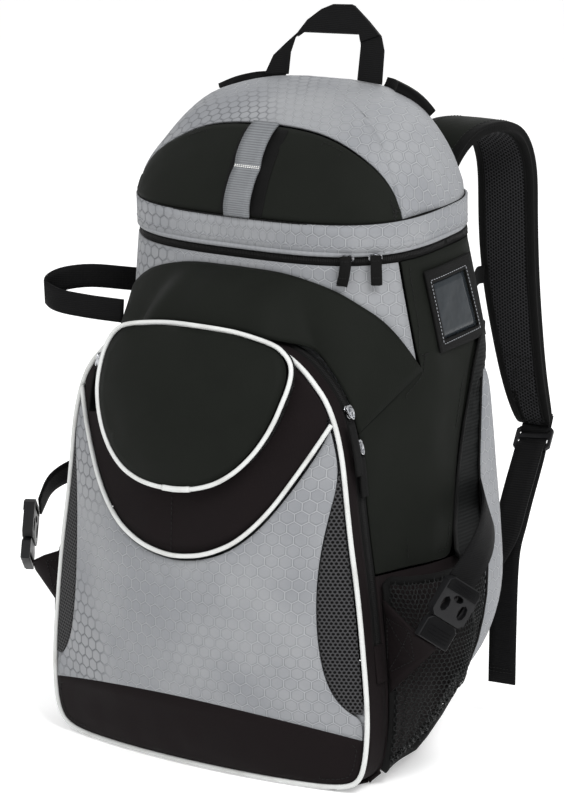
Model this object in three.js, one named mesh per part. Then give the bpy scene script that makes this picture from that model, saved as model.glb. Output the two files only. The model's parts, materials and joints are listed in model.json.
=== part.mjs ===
// Lacrosse backpack, standing upright and filled out, in millimetres.
// +Z is up, -Y is the front, +X is the wearer's left (the viewer's right), and the bag stands on Z = 0.
// Cloth pieces are thin walls laid on a few shared surfaces: body, sides, lid and front pocket.
import * as THREE from "three";

const CLOTH = 1.8; // wall of the lined woven panels
const MESH_CLOTH = 1.2; // wall of the open mesh
const BACK_PAD = 5; // padded back panel
const GAP = 0.4; // clearance between neighbouring pieces
const NEAR = 0.004; // share of a surface's width to step when its slope is measured
const PIPE_Y = -100; // plane of the front pocket's piped edge
const GUSSET_END = 28; // depth of the front pocket's gusset and zip behind its piping
const ZIP_EDGE = 16; // the front zip tape runs from this depth to the gusset's end
const ZIP_LOW = 95; // the front zip stops at this height
const TILT = 0.105; // the lid line rises toward the back by this much per millimetre
const TILT_Y = -53; // where that rise is zero
const PIPE_RADIUS = 2.1; // piping of the front pocket
const WEBBING = 25; // width of the plain webbing
// Points inside the bag, its lid, its boot and its pockets, to tell outward from inward.
const MIDDLE = new THREE.Vector3(0, 20, 260);
const LID_MIDDLE = new THREE.Vector3(0, 40, 440);
const BOOT_MIDDLE = new THREE.Vector3(0, 0, 120);
const POCKET_MIDDLE = new THREE.Vector3(0, -85, 190);
const SHIELD_INSIDE = new THREE.Vector3(0, -140, 312);
const SIDE_MIDDLE = new THREE.Vector3(150, 0, 120);

const RIGHT = new THREE.Vector3(1, 0, 0);
const BACK = new THREE.Vector3(0, 1, 0);
const UP = new THREE.Vector3(0, 0, 1);

const COLOUR = {
  grey: 0x9b9ea3,
  black: 0x20221f,
  brown: 0x1b1718,
  mesh: 0x1d1e1f,
  webbing: 0x0c0c0d,
  piping: 0xe2e3e1,
  plastic: 0x111214,
  metal: 0xbcbec1,
  clear: 0x8f9ca8,
  daisy: 0x707378,
};

const table = (columns, lines) =>
  lines.map((line, i) => {
    const row = Object.fromEntries(columns.map((c, k) => [c, line[k]]));
    row.i = i;
    return row;
  });

// Level sections of the body: half width, front and back, the widest place, and how square each half is.
const BODY = table(
  ["z", "half", "front", "mid", "back", "squareFront", "squareBack"],
  [
    [0, 129, -60, -45, 68, 4.0, 2.0],
    [10, 138, -61, -25, 72, 4.0, 2.2],
    [30, 147, -62, 0, 80, 4.1, 2.6],
    [55, 152, -62, 15, 91, 4.2, 3.0],
    [86, 161, -62, 29, 110, 4.4, 4.6],
    [130, 166, -62, 37, 117, 4.4, 6.8],
    [180, 164, -62, 40, 116, 4.4, 7.4],
    [260, 156, -60, 40, 114, 4.0, 7.4],
    [340, 147.5, -57, 40, 110, 3.2, 7.2],
    [425, 140, -53, 40, 104, 3.0, 4.4],
  ],
);

// Level sections of the lid, from its lower edge to the flat on top.
const LID = table(
  ["level", "z", "half", "front", "mid", "back", "squareFront", "squareBack"],
  [
    [0.0, 425, 140, -54, 40, 105, 3.1, 4.2],
    [0.18, 450, 140.5, -55, 40, 105, 3.1, 4.0],
    [0.36, 476, 135, -45, 42, 104, 2.8, 3.2],
    [0.54, 499, 123, -31, 44, 101, 2.3, 3.0],
    [0.68, 515, 108, -15, 46, 98, 2.2, 2.8],
    [0.82, 526, 89, 9, 50, 94, 2.2, 2.6],
    [0.93, 532, 69, 31, 55, 88, 2.3, 2.5],
    [1.0, 535, 48, 48, 60, 78, 2.3, 2.4],
  ],
);
const BAND_TOP = 0.178; // lid level where the grey band ends
const VISOR_Y = -13; // the dark visor is the lid in front of this plane
const LID_SEAM = 0.009; // gap at the lid's seams, as a share of its levels

// Front pocket face: how far it bulges in front of its piping, and the half width that bulge dies out at.
const FRONT = table(
  ["z", "edge", "bulge"],
  [
    [0, 142, 16],
    [12, 152, 22],
    [31, 158, 31],
    [75, 158, 41],
    [122, 154, 45],
    [165, 149, 46],
    [203, 143, 46],
    [238, 138, 44],
    [272, 134, 39],
    [299, 127.5, 33],
    [318, 119, 28],
    [335, 104.5, 21],
    [348, 90, 15],
    [356, 74, 10],
    [361, 55, 7],
    [364, 24, 6],
  ],
);

// Piped outline of the front pocket, right half, from the middle of its foot to the middle of its top.
const OUTLINE = table(
  ["x", "z"],
  [
    [0, 3],
    [60, 3],
    [112, 3],
    [138, 5.5],
    [150, 12],
    [156, 26],
    [158.5, 50],
    [158, 80],
    [154, 122],
    [149, 165],
    [143, 203],
    [138, 240],
    [134, 272],
    [127.5, 299],
    [119, 318],
    [108.5, 331],
    [97, 342],
    [83, 351.5],
    [62, 359],
    [33, 363],
    [0, 364],
  ],
);

// Lower edge of the yoke, right half, from the middle outward.
const YOKE = table(
  ["x", "z"],
  [
    [0, 187],
    [22, 189.5],
    [44, 197],
    [65, 210.5],
    [86, 234],
    [104, 263],
    [116, 285],
    [124, 301],
  ],
);

// Side edge of the grey front panel: it gives way to the mesh crescent between its two ends.
const CRESCENT = table(
  ["z", "x"],
  [
    [40, 155],
    [62, 154.4],
    [66, 151],
    [72, 143],
    [88, 131.5],
    [121, 123.5],
    [154, 121],
    [178, 121],
    [219, 124.5],
    [250, 130.5],
    [266, 131.3],
    [290, 126],
    [303, 122],
  ],
);

// Outline of the small shield pocket, right half, from the middle of its top to the middle of its foot.
const SHIELD = table(
  ["x", "z"],
  [
    [0, 370],
    [40, 367],
    [69, 362.5],
    [82, 357],
    [90.5, 347],
    [93, 334],
    [91, 317],
    [86.5, 301],
    [77, 282],
    [61.5, 264],
    [41, 251],
    [18, 245.5],
    [0, 244.5],
  ],
);
const SHIELD_MIDDLE = { x: 0, z: 312 };
const SHIELD_SWELL = 9;

// Seam of the hood on the body front: turn from straight ahead in degrees, and height.
const ARCH = table(
  ["turn", "z"],
  [
    [0, 410],
    [27, 408],
    [45, 398],
    [54, 385],
    [60, 374],
    [66, 356],
    [73, 330],
  ],
);

// Side edge of the main front wall, in degrees of turn from the right-hand side.
const FRONT_WALL = table(
  ["z", "turn"],
  [
    [3, -40],
    [90, -40],
    [200, -40],
    [300, -40],
    [331, -18.2],
    [345, -19],
    [393, -21.9],
    [416.2, -23.2],
  ],
);

// Smooth side panel: where it starts and ends around the girth. Below zero the girth counts millimetres
// forward of the widest place, on a scale that reaches the zip at -112.
// Above zero it is degrees round the back.
const SIDE = table(
  ["z", "start", "end"],
  [
    [177, -111.6, -32],
    [184, -111.6, -24],
    [203, -111.6, -19],
    [235, -111.6, -12],
    [267, -111.6, -2],
    [290, -111.6, 3],
    [310, -76.5, 6.4],
    [331, -43.6, 10.5],
    [345, -46, 15],
    [347, -46.2, 28.6],
    [393, -51.6, 28.6],
    [416.2, -53.4, 28.6],
  ],
);

// Grey rear gusset: where it starts around the girth.
const REAR = table(
  ["z", "start"],
  [
    [45.5, 9],
    [65, 9],
    [90, 9],
    [130, 9],
    [180, 9],
    [230, 9],
    [270, 12],
    [306, 15],
    [320, 26.5],
  ],
);
const REAR_END = 28.6;

// Swell of the side mesh pocket around the girth, and up its height.
const POCKET_GIRTH = table(
  ["girth", "swell"],
  [
    [-106, 0],
    [-100, 26],
    [-88, 40],
    [-50, 36],
    [-20, 14],
    [8, 0],
  ],
);
const POCKET_RISE = table(
  ["z", "swell"],
  [
    [14, 0],
    [45, 0.45],
    [85, 0.95],
    [125, 1],
    [158, 0.74],
    [172, 0.5],
    [184, 0],
    [344, 0],
  ],
);
const POCKET_MOUTH = 172; // height of the pocket's open mouth

const clamp = THREE.MathUtils.clamp;
const mix = THREE.MathUtils.lerp;
const rad = THREE.MathUtils.degToRad;
const step = THREE.MathUtils.smoothstep;
const steps = (from, to, count) => Array.from({ length: count + 1 }, (_, k) => mix(from, to, k / count));

// Straight-line reading of a table.
function line(rows, key, by, value) {
  const last = rows.length - 1;
  const at = clamp(value, rows[0][by], rows[last][by]);
  let k = 0;
  while (k < last - 1 && at > rows[k + 1][by]) k += 1;
  const t = (at - rows[k][by]) / (rows[k + 1][by] - rows[k][by]);
  return mix(rows[k][key], rows[k + 1][key], t);
}

// Smooth reading of a table: a cubic through its rows.
function smooth(rows, key, by, value) {
  const last = rows.length - 1;
  const at = clamp(value, rows[0][by], rows[last][by]);
  let k = 0;
  while (k < last - 1 && at > rows[k + 1][by]) k += 1;
  const slope = (n) => {
    const a = rows[Math.max(n - 1, 0)];
    const b = rows[Math.min(n + 1, last)];
    return (b[key] - a[key]) / (b[by] - a[by]);
  };
  const h = rows[k + 1][by] - rows[k][by];
  const t = (at - rows[k][by]) / h;
  const s = 1 - t;
  return (
    (1 + 2 * t) * s * s * rows[k][key] +
    t * s * s * h * slope(k) +
    t * t * (3 - 2 * t) * rows[k + 1][key] -
    t * t * s * h * slope(k + 1)
  );
}

// Point of a level section at an angle: 0 is the right, -90 the front and 90 the back.
function section(rows, by, value, degrees) {
  const get = (key) => smooth(rows, key, by, value);
  const c = Math.cos(rad(degrees));
  const s = Math.sin(rad(degrees));
  const mid = get("mid");
  const depth = s < 0 ? mid - get("front") : get("back") - mid;
  const power = get(s < 0 ? "squareFront" : "squareBack");
  const r = (Math.abs(c / get("half")) ** power + Math.abs(s / depth) ** power) ** (-1 / power);
  return { x: r * c, y: mid + r * s };
}

function lean(z) {
  const w = clamp((z - 250) / 175, 0, 1);
  return TILT * w * w * (3 - 2 * w);
}

function bodyPoint(degrees, z) {
  const { x, y } = section(BODY, "z", z, degrees);
  return new THREE.Vector3(x, y, z + lean(z) * (y - TILT_Y));
}

function lidPoint(degrees, level) {
  const { x, y } = section(LID, "level", level, degrees);
  const z = smooth(LID, "z", "level", level);
  return new THREE.Vector3(x, y, z + TILT * (y - TILT_Y));
}

// Side surface: the body's own round at the back, drawn in to meet the front pocket's outline at the front.
function sidePoint(girth, z) {
  if (girth >= 0) return bodyPoint(girth, z);
  const half = smooth(BODY, "half", "z", z);
  const mid = smooth(BODY, "mid", "z", z);
  const zipY = PIPE_Y + GUSSET_END;
  const k = -girth / 112;
  const y = mid + (zipY - mid) * k;
  const drawn = half - (half - smooth(FRONT, "edge", "z", z)) * k ** 1.7;
  const depth = mid - smooth(BODY, "front", "z", z);
  const power = smooth(BODY, "squareFront", "z", z);
  const round = half * Math.max(0, 1 - ((mid - y) / depth) ** power) ** (1 / power);
  const x = 0.5 * (drawn + round + Math.sqrt((drawn - round) ** 2 + 9 * k * k));
  return new THREE.Vector3(x, y, z + lean(z) * (y - TILT_Y));
}

function frontY(x, z) {
  const u = clamp(Math.abs(x) / smooth(FRONT, "edge", "z", z), 0, 1);
  return PIPE_Y - smooth(FRONT, "bulge", "z", z) * (1 - u ** 2.2);
}

// Point of a half outline by row number, mirrored when the number is negative, moved inward by an inset.
function outlineAt(rows, number, inset = 0, middle = { x: 0, z: 190 }) {
  const side = number < 0 ? -1 : 1;
  const at = Math.abs(number);
  const here = (n) => ({
    x: smooth(rows, "x", "i", n),
    z: smooth(rows, "z", "i", n),
  });
  const p = here(at);
  if (!inset) return { x: side * p.x, z: p.z };
  const a = here(Math.max(at - 0.02, 0));
  const b = here(Math.min(at + 0.02, rows.length - 1));
  const length = Math.hypot(b.x - a.x, b.z - a.z);
  let nx = -(b.z - a.z) / length;
  let nz = (b.x - a.x) / length;
  if (nx * (middle.x - p.x) + nz * (middle.z - p.z) < 0) {
    nx = -nx;
    nz = -nz;
  }
  return { x: side * (p.x + nx * inset), z: p.z + nz * inset };
}

// Row number of the pocket outline at a height on its right side.
function outlineRow(z) {
  let low = 3;
  let high = OUTLINE.length - 1;
  for (let n = 0; n < 40; n += 1) {
    const mid = 0.5 * (low + high);
    if (smooth(OUTLINE, "z", "i", mid) < z) low = mid;
    else high = mid;
  }
  return low;
}

// Height at a share of a table's rows.
function spread(rows, share) {
  return line(rows, "z", "i", share * (rows.length - 1));
}

function geometryOf(points, faces) {
  const geometry = new THREE.BufferGeometry();
  const flat = new Float32Array(points.flatMap((p) => [p.x, p.y, p.z]));
  let volume = 0;
  for (const [a, b, c] of faces) {
    const cross = new THREE.Vector3().crossVectors(points[b], points[c]);
    volume += points[a].dot(cross);
  }
  const turned = volume < 0 ? faces.map(([a, b, c]) => [a, c, b]) : faces;
  geometry.setAttribute("position", new THREE.BufferAttribute(flat, 3));
  geometry.setIndex(turned.flat());
  geometry.computeVertexNormals();
  return geometry;
}

// A wall of even thickness behind a surface given as point(u, v). A ring closes on itself along u, and a
// capped wall is closed at v = 1 by a small fan. Cells of the grid that keep(i, j) refuses are left out.
function wall(point, columns, rows, thick, options = {}) {
  const { ring = false, cap = false, lift = 0, inside = MIDDLE, keep = () => true } = options;
  const count = ring ? columns : columns + 1;
  const outer = [];
  const inner = [];
  for (let j = 0; j <= rows; j += 1) {
    for (let i = 0; i < count; i += 1) {
      const u = i / columns;
      const v = j / rows;
      const p = point(u, v);
      const u0 = ring ? u - NEAR : Math.max(u - NEAR, 0);
      const u1 = ring ? u + NEAR : Math.min(u + NEAR, 1);
      const along = point(u1, v).sub(point(u0, v));
      const up = point(u, Math.min(v + NEAR, 1)).sub(point(u, Math.max(v - NEAR, 0)));
      const normal = new THREE.Vector3().crossVectors(along, up).normalize();
      if (normal.dot(p.clone().sub(inside)) < 0) normal.negate();
      outer.push(p.clone().addScaledVector(normal, lift));
      inner.push(p.clone().addScaledVector(normal, lift - thick));
    }
  }
  const points = [...outer, ...inner];
  const faces = [];
  const quad = (a, b, c, d) => faces.push([a, b, c], [a, c, d]);
  const id = (i, j) => j * count + (i % count);
  const back = outer.length;
  const kept = (i, j) => {
    const k = ring ? (i + columns) % columns : i;
    return k >= 0 && k < columns && j >= 0 && j < rows && keep(k, j);
  };
  for (let j = 0; j < rows; j += 1) {
    for (let i = 0; i < columns; i += 1) {
      if (!kept(i, j)) continue;
      const [a, b, c, d] = [id(i, j), id(i + 1, j), id(i + 1, j + 1), id(i, j + 1)];
      quad(a, b, c, d);
      quad(back + d, back + c, back + b, back + a);
      if (!kept(i - 1, j)) quad(d, back + d, back + a, a);
      if (!kept(i + 1, j)) quad(b, back + b, back + c, c);
      if (!kept(i, j - 1)) quad(a, back + a, back + b, b);
      if (!kept(i, j + 1) && !(cap && j === rows - 1)) quad(c, back + c, back + d, d);
    }
  }
  if (cap) {
    for (const base of [0, back]) {
      const centre = new THREE.Vector3();
      for (let i = 0; i < count; i += 1) centre.add(points[base + id(i, rows)]);
      points.push(centre.divideScalar(count));
      const top = points.length - 1;
      for (let i = 0; i < columns; i += 1) {
        const a = base + id(i, rows);
        const b = base + id(i + 1, rows);
        faces.push(base ? [b, a, top] : [a, b, top]);
      }
    }
  }
  return geometryOf(points, faces);
}

// Sweep of a flat section along stations, each with its place, its width direction, width and thickness.
// Bevel 0 leaves the section square; above 0 it rounds the edges for padded pieces.
function strap(stations, bevel = 0) {
  const points = [];
  const faces = [];
  const last = stations.length - 1;
  stations.forEach((s, k) => {
    const ahead = stations[Math.min(k + 1, last)].place.clone().sub(stations[Math.max(k - 1, 0)].place);
    ahead.normalize();
    const across = s.across.clone().addScaledVector(ahead, -s.across.dot(ahead)).normalize();
    const normal = new THREE.Vector3().crossVectors(ahead, across);
    const w = s.width / 2;
    const t = s.thick / 2;
    const corners = bevel ? tablet(s.width, s.thick, bevel * t) : [[w, t], [-w, t], [-w, -t], [w, -t]];
    for (const [a, n] of corners) {
      points.push(s.place.clone().addScaledVector(across, a).addScaledVector(normal, n));
    }
  });
  const n = points.length / stations.length;
  for (let k = 0; k < last; k += 1) {
    for (let i = 0; i < n; i += 1) {
      const a = k * n + i;
      const b = k * n + ((i + 1) % n);
      faces.push([a, b, b + n], [a, b + n, a + n]);
    }
  }
  for (let i = 1; i < n - 1; i += 1) {
    faces.push([0, i + 1, i]);
    const e = last * n;
    faces.push([e, e + i, e + i + 1]);
  }
  return geometryOf(points, faces);
}

// Stations of a strap: a smooth run through a few places.
// The width directions given are spread evenly along it.
function run(places, count, width, thick, ...across) {
  const curve = new THREE.CatmullRomCurve3(places.map((p) => new THREE.Vector3(...p)), false, "centripetal");
  const turns = across.map(([x, y, z], i) => ({ x, y, z, i }));
  if (turns.length === 1) turns.push({ ...turns[0], i: 1 });
  return Array.from({ length: count + 1 }, (_, k) => {
    const at = (k / count) * (turns.length - 1);
    return {
      place: curve.getPoint(k / count),
      across: new THREE.Vector3(...["x", "y", "z"].map((key) => line(turns, key, "i", at))),
      width,
      thick,
    };
  });
}

// Round cord through a list of places; a ring closes on itself.
function cord(places, radius, sides, ring) {
  const points = [];
  const faces = [];
  const count = places.length;
  const forward = new THREE.Vector3(0, -1, 0);
  places.forEach((p, k) => {
    const before = ring ? places[(k + count - 1) % count] : places[Math.max(k - 1, 0)];
    const after = ring ? places[(k + 1) % count] : places[Math.min(k + 1, count - 1)];
    const along = after.clone().sub(before).normalize();
    const side = new THREE.Vector3().crossVectors(along, forward).normalize();
    const out = new THREE.Vector3().crossVectors(side, along);
    for (let i = 0; i < sides; i += 1) {
      const a = (2 * Math.PI * i) / sides;
      points.push(
        p
          .clone()
          .addScaledVector(side, radius * Math.cos(a))
          .addScaledVector(out, radius * Math.sin(a)),
      );
    }
  });
  for (let k = 0; k < (ring ? count : count - 1); k += 1) {
    for (let i = 0; i < sides; i += 1) {
      const j = (i + 1) % sides;
      const a = k * sides;
      const b = ((k + 1) % count) * sides;
      faces.push([a + i, a + j, b + j], [a + i, b + j, b + i]);
    }
  }
  if (!ring) {
    const e = (count - 1) * sides;
    for (let i = 1; i < sides - 1; i += 1) {
      faces.push([0, i + 1, i]);
      faces.push([e, e + i, e + i + 1]);
    }
  }
  return geometryOf(points, faces);
}

// A flat plate with holes, drawn in its own plane, then stood up in a frame of three directions.
function plate(outline, holes, thick, place, across, along, out) {
  const shape = new THREE.Shape(outline.map(([a, b]) => new THREE.Vector2(a, b)));
  for (const hole of holes) shape.holes.push(new THREE.Path(hole.map(([a, b]) => new THREE.Vector2(a, b))));
  const geometry = new THREE.ExtrudeGeometry(shape, { depth: thick, bevelEnabled: false, steps: 1 });
  geometry.translate(0, 0, -thick / 2);
  const frame = new THREE.Matrix4().makeBasis(across, along, out);
  frame.setPosition(place);
  return geometry.applyMatrix4(frame);
}

const oval = (x, y, rx, ry, count = 8) =>
  Array.from({ length: count }, (_, k) => {
    const a = (-2 * Math.PI * k) / count;
    return [x + rx * Math.cos(a), y + ry * Math.sin(a)];
  });

// A corner-cut rectangle.
const tablet = (w, h, cut, x = 0, y = 0) => [
  [x - w / 2 + cut, y - h / 2],
  [x + w / 2 - cut, y - h / 2],
  [x + w / 2, y - h / 2 + cut],
  [x + w / 2, y + h / 2 - cut],
  [x + w / 2 - cut, y + h / 2],
  [x - w / 2 + cut, y + h / 2],
  [x - w / 2, y + h / 2 - cut],
  [x - w / 2, y - h / 2 + cut],
];

const bag = new THREE.Group();

function add(name, geometry, colour, roughness = 0.9, metalness = 0) {
  const material = new THREE.MeshStandardMaterial({ color: COLOUR[colour], roughness, metalness });
  const mesh = new THREE.Mesh(geometry, material);
  mesh.name = name;
  bag.add(mesh);
}

// The same piece on the left, by mirroring X.
function mirrored(geometry) {
  const left = geometry.clone();
  left.scale(-1, 1, 1);
  const index = left.index ? Array.from(left.index.array) : null;
  if (index) {
    for (let i = 0; i < index.length; i += 3) [index[i + 1], index[i + 2]] = [index[i + 2], index[i + 1]];
    left.setIndex(index);
    return left;
  }
  const p = left.getAttribute("position");
  const v = new THREE.Vector3();
  const w = new THREE.Vector3();
  for (let i = 0; i < p.count; i += 3) {
    v.fromBufferAttribute(p, i + 1);
    w.fromBufferAttribute(p, i + 2);
    p.setXYZ(i + 1, w.x, w.y, w.z);
    p.setXYZ(i + 2, v.x, v.y, v.z);
  }
  return left;
}

function addPair(name, geometry, colour, roughness) {
  add(name + "_right", geometry, colour, roughness);
  add(name + "_left", mirrored(geometry), colour, roughness);
}

// Main body.
add(
  "body_front_wall",
  wall(
    (u, v) => {
      const z = spread(FRONT_WALL, v);
      const turn = line(FRONT_WALL, "turn", "z", z);
      return bodyPoint(mix(turn, -180 - turn, u), z);
    },
    12,
    FRONT_WALL.length - 1,
    CLOTH,
  ),
  "grey",
);
const sidePanel = wall(
  (u, v) => {
    const z = spread(SIDE, v);
    return sidePoint(mix(line(SIDE, "start", "z", z), line(SIDE, "end", "z", z), u), z);
  },
  6,
  SIDE.length - 1,
  CLOTH,
);
addPair("side_panel", sidePanel, "black", 0.7);

// Lower shell: side walls up to the side panels, joined round the back by a low wall.
const BOOT_SIDE = [-111.6, -84, -56, -28, 0, 8.2];
const BOOT_REAR = [25, 45, 68, 90];
const BOOT_ROWS = [2.7, 12, 26, 44.6, 80, 125, 175].map((z, i) => ({ z, i }));
const BOOT_LOW = 3; // rows of the grid under the low wall's top
const bootHalf = [...BOOT_SIDE, ...BOOT_REAR].map((girth) => ({ girth, side: 1 }));
const bootOther = bootHalf.slice(0, -1).map(({ girth }) => ({ girth, side: -1 }));
const bootStations = [...bootHalf, ...bootOther.reverse()];
const bootPoint = (u, v) => {
  const number = u * (bootStations.length - 1);
  const k = Math.min(Math.floor(number), bootStations.length - 2);
  const at = ({ girth, side }) => {
    const p = sidePoint(girth, spread(BOOT_ROWS, v));
    return p.setX(side * p.x);
  };
  return at(bootStations[k]).lerp(at(bootStations[k + 1]), number - k);
};
const bootSideCells = BOOT_SIDE.length - 1;
add(
  "lower_shell",
  wall(bootPoint, bootStations.length - 1, BOOT_ROWS.length - 1, CLOTH, {
    inside: BOOT_MIDDLE,
    keep: (i, j) => j < BOOT_LOW || i < bootSideCells || i >= bootStations.length - 1 - bootSideCells,
  }),
  "brown",
);
const rearGusset = wall(
  (u, v) => {
    const z = spread(REAR, v);
    return sidePoint(mix(line(REAR, "start", "z", z), REAR_END, u), z);
  },
  3,
  REAR.length - 1,
  CLOTH,
);
addPair("rear_gusset", rearGusset, "grey");
add(
  "back_panel",
  wall((u, v) => bodyPoint(mix(REAR_END + 0.8, 180 - REAR_END - 0.8, u), mix(45.5, 412, v)), 12, 6, BACK_PAD),
  "black",
);

// Base: a flat sheet under the body and the front pocket.
const BASE_THICK = 2.2;
const BASE_HALF = 128; // half width of its straight front edge
const BASE_BACK = 3.4; // that edge lies this far behind the front pocket's face
const BASE_GIRTHS = [-100, -70, -40, -10];
const baseSide = BASE_GIRTHS.map((girth) => sidePoint(girth, 1)).map((p) => [p.x - 1, p.y]);
const baseFront = steps(-BASE_HALF, BASE_HALF, 12).map((x) => [x, frontY(x, BASE_BACK) + BASE_BACK]);
const baseRear = steps(11.25, 168.75, 14).map((turn) => bodyPoint(turn, 0.5)).map((p) => [p.x, p.y]);
const baseEdge = [...baseFront, ...baseSide, ...baseRear, ...baseSide.map(([x, y]) => [-x, y]).reverse()];
add(
  "base_panel",
  plate(baseEdge, [], BASE_THICK, UP.clone().multiplyScalar(BASE_THICK / 2), RIGHT, BACK, UP),
  "brown",
);

// Lid. The visor's edge is where the lid crosses one upright plane.
const VISOR_ROUND = 0.004; // rise of the edge's flat top toward its middle, in levels
const visorEdge = [];
for (let k = 0; k <= 240; k += 1) {
  const level = mix(BAND_TOP, 0.72, k / 240);
  const front = smooth(LID, "front", "level", level);
  if (front > VISOR_Y - 0.5) break;
  let low = -90;
  let high = 0;
  for (let n = 0; n < 40; n += 1) {
    const mid = 0.5 * (low + high);
    if (lidPoint(mid, level).y < VISOR_Y) low = mid;
    else high = mid;
  }
  visorEdge.push({ turn: low, level });
}
const visorTop = visorEdge[visorEdge.length - 1];
for (let k = 1; k <= 60; k += 1) {
  visorEdge.push({
    turn: mix(visorTop.turn, -90, k / 60),
    level: visorTop.level + VISOR_ROUND * Math.sin((k * Math.PI) / 120),
  });
}
let walked = 0;
visorEdge.forEach((e, k) => {
  e.place = lidPoint(e.turn, e.level);
  if (k) walked += e.place.distanceTo(visorEdge[k - 1].place);
  e.at = walked;
});
// Visor edge by share of its length: 0 is its right foot, 1 the left.
function visorAt(share) {
  const half = share > 0.5 ? 1 - share : share;
  const at = half * 2 * walked;
  const turn = line(visorEdge, "turn", "at", at);
  return { turn: share > 0.5 ? -180 - turn : turn, level: line(visorEdge, "level", "at", at) };
}
const HOOD_FRONT = 16;
const HOOD_BACK = 14;
const hoodFoot = (u) => {
  const number = (((u % 1) + 1) % 1) * (HOOD_FRONT + HOOD_BACK);
  if (number <= HOOD_FRONT) {
    const e = visorAt(number / HOOD_FRONT);
    return { turn: e.turn, level: e.level + LID_SEAM };
  }
  const right = visorEdge[0].turn;
  const t = (number - HOOD_FRONT) / HOOD_BACK;
  return { turn: mix(180 - right, right, t), level: BAND_TOP + LID_SEAM };
};
add(
  "lid_hood",
  wall(
    (u, v) => {
      const foot = hoodFoot(u);
      return lidPoint(foot.turn, mix(foot.level, 1, v));
    },
    HOOD_FRONT + HOOD_BACK,
    5,
    CLOTH,
    { ring: true, cap: true, inside: LID_MIDDLE },
  ),
  "grey",
);
add(
  "lid_visor",
  wall(
    (u, v) => {
      const e = visorAt(mix(0.03, 0.97, u));
      return lidPoint(e.turn, mix(BAND_TOP + LID_SEAM, e.level - LID_SEAM, v));
    },
    16,
    4,
    CLOTH,
    { inside: LID_MIDDLE },
  ),
  "black",
  0.7,
);
add(
  "lid_band",
  wall((u, v) => lidPoint(u * 360, mix(0.006, BAND_TOP, v)), 32, 1, CLOTH + 0.6, {
    ring: true,
    lift: 0.8,
    inside: LID_MIDDLE,
  }),
  "grey",
);
add(
  "top_zip_tape",
  wall((u, v) => bodyPoint(u * 360, mix(416.8, 425, v)), 32, 1, 1.2, {
    ring: true,
    lift: -0.8,
    inside: LID_MIDDLE,
  }),
  "webbing",
);
const visorFront = (x, level) => {
  const get = (key) => smooth(LID, key, "level", level);
  const depth = get("mid") - get("front");
  const power = get("squareFront");
  const y = get("mid") - depth * (1 - Math.abs(x / get("half")) ** power) ** (1 / power);
  return new THREE.Vector3(x, y, get("z") + TILT * (y - TILT_Y));
};
add(
  "daisy_webbing",
  wall(
    (u, v) => {
      const p = visorFront(mix(-WEBBING / 2, WEBBING / 2, u), mix(0.19, 0.69, v));
      p.y -= 3.2 * Math.abs(Math.sin(2 * Math.PI * v)) ** 0.7;
      return p;
    },
    1,
    12,
    1.8,
    { lift: 2.6, inside: LID_MIDDLE },
  ),
  "daisy",
);

// Front pocket.
const onFront = (x, z, forward = 0) => new THREE.Vector3(x, frontY(x, z) - forward, z);
const PANEL_INSET = PIPE_RADIUS + GAP;
const SEAM_MID = 66; // height of the base band's seam in the middle
const SEAM_SAG = 20; // and how much lower it meets the sides
const seamZ = (x) => SEAM_MID - SEAM_SAG * (x / 158) ** 2;
// A patch of the pocket's face between four edges. Its rows follow the heights of its side edges.
const coons = (bottom, top, left, right) => (u, v) => {
  const share = (right(v).z - right(0).z) / (right(1).z - right(0).z);
  const at = (key) => {
    const rows = mix(bottom(u)[key], top(u)[key], share);
    const sides = mix(left(v)[key], right(v)[key], u);
    const low = mix(bottom(0)[key], bottom(1)[key], u);
    const high = mix(top(0)[key], top(1)[key], u);
    return rows + sides - mix(low, high, share);
  };
  return onFront(at("x"), at("z"));
};
// The yoke's lower edge from left to right, moved up into the yoke or, below zero, down out of it.
const yokeLine = (share, shift) =>
  outlineAt(YOKE, mix(1 - YOKE.length, YOKE.length - 1, share), Math.abs(shift), { x: 0, z: 1000 * shift });
const YOKE_LAP = 2.4; // the yoke stops this far above its piping's line
const YOKE_DROP = 4.2; // and the grey panel this far below it
const SEAM_HALF = 0.3; // half the gap at the base band's seam
const SEAM_X = 155; // half width of that seam
const panelHeights = [62, 69, 80, 100, 130, 165, 200, 235, 266];
const panelFoot = seamZ(SEAM_X) + SEAM_HALF;
const panelTop = yokeLine(1, -YOKE_DROP).z;
const PANEL_ROWS = [panelFoot, ...panelHeights, panelTop].map((z, i) => ({ z, i }));
const panelSide = (v) => {
  const z = spread(PANEL_ROWS, v);
  return { x: smooth(CRESCENT, "x", "z", z), z };
};
add(
  "front_panel",
  wall(
    coons(
      (u) => {
        const x = mix(-1, 1, u) * panelSide(0).x;
        return { x, z: seamZ(x) + SEAM_HALF };
      },
      (u) => {
        const p = yokeLine(u, -YOKE_DROP);
        const end = panelSide(1);
        const k = Math.abs(2 * u - 1) ** 6;
        return { x: mix(p.x, Math.sign(2 * u - 1) * end.x, k), z: mix(p.z, end.z, k) };
      },
      (v) => ({ x: -panelSide(v).x, z: panelSide(v).z }),
      panelSide,
    ),
    12,
    PANEL_ROWS.length - 1,
    CLOTH,
  ),
  "grey",
);
const bandRow = outlineRow(seamZ(SEAM_X) - SEAM_HALF);
const BAND_CORNER = 4; // outline row where the band's foot turns up into its side
add(
  "front_base_band",
  wall(
    coons(
      (u) => outlineAt(OUTLINE, mix(-BAND_CORNER, BAND_CORNER, u), PANEL_INSET),
      (u) => {
        const x = mix(-1, 1, u) * outlineAt(OUTLINE, bandRow, PANEL_INSET).x;
        return { x, z: seamZ(x) - SEAM_HALF };
      },
      (v) => outlineAt(OUTLINE, -mix(BAND_CORNER, bandRow, v), PANEL_INSET),
      (v) => outlineAt(OUTLINE, mix(BAND_CORNER, bandRow, v), PANEL_INSET),
    ),
    12,
    2,
    CLOTH,
  ),
  "brown",
);
const LAST = OUTLINE.length - 1;
const archFrom = outlineRow(306);
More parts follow.
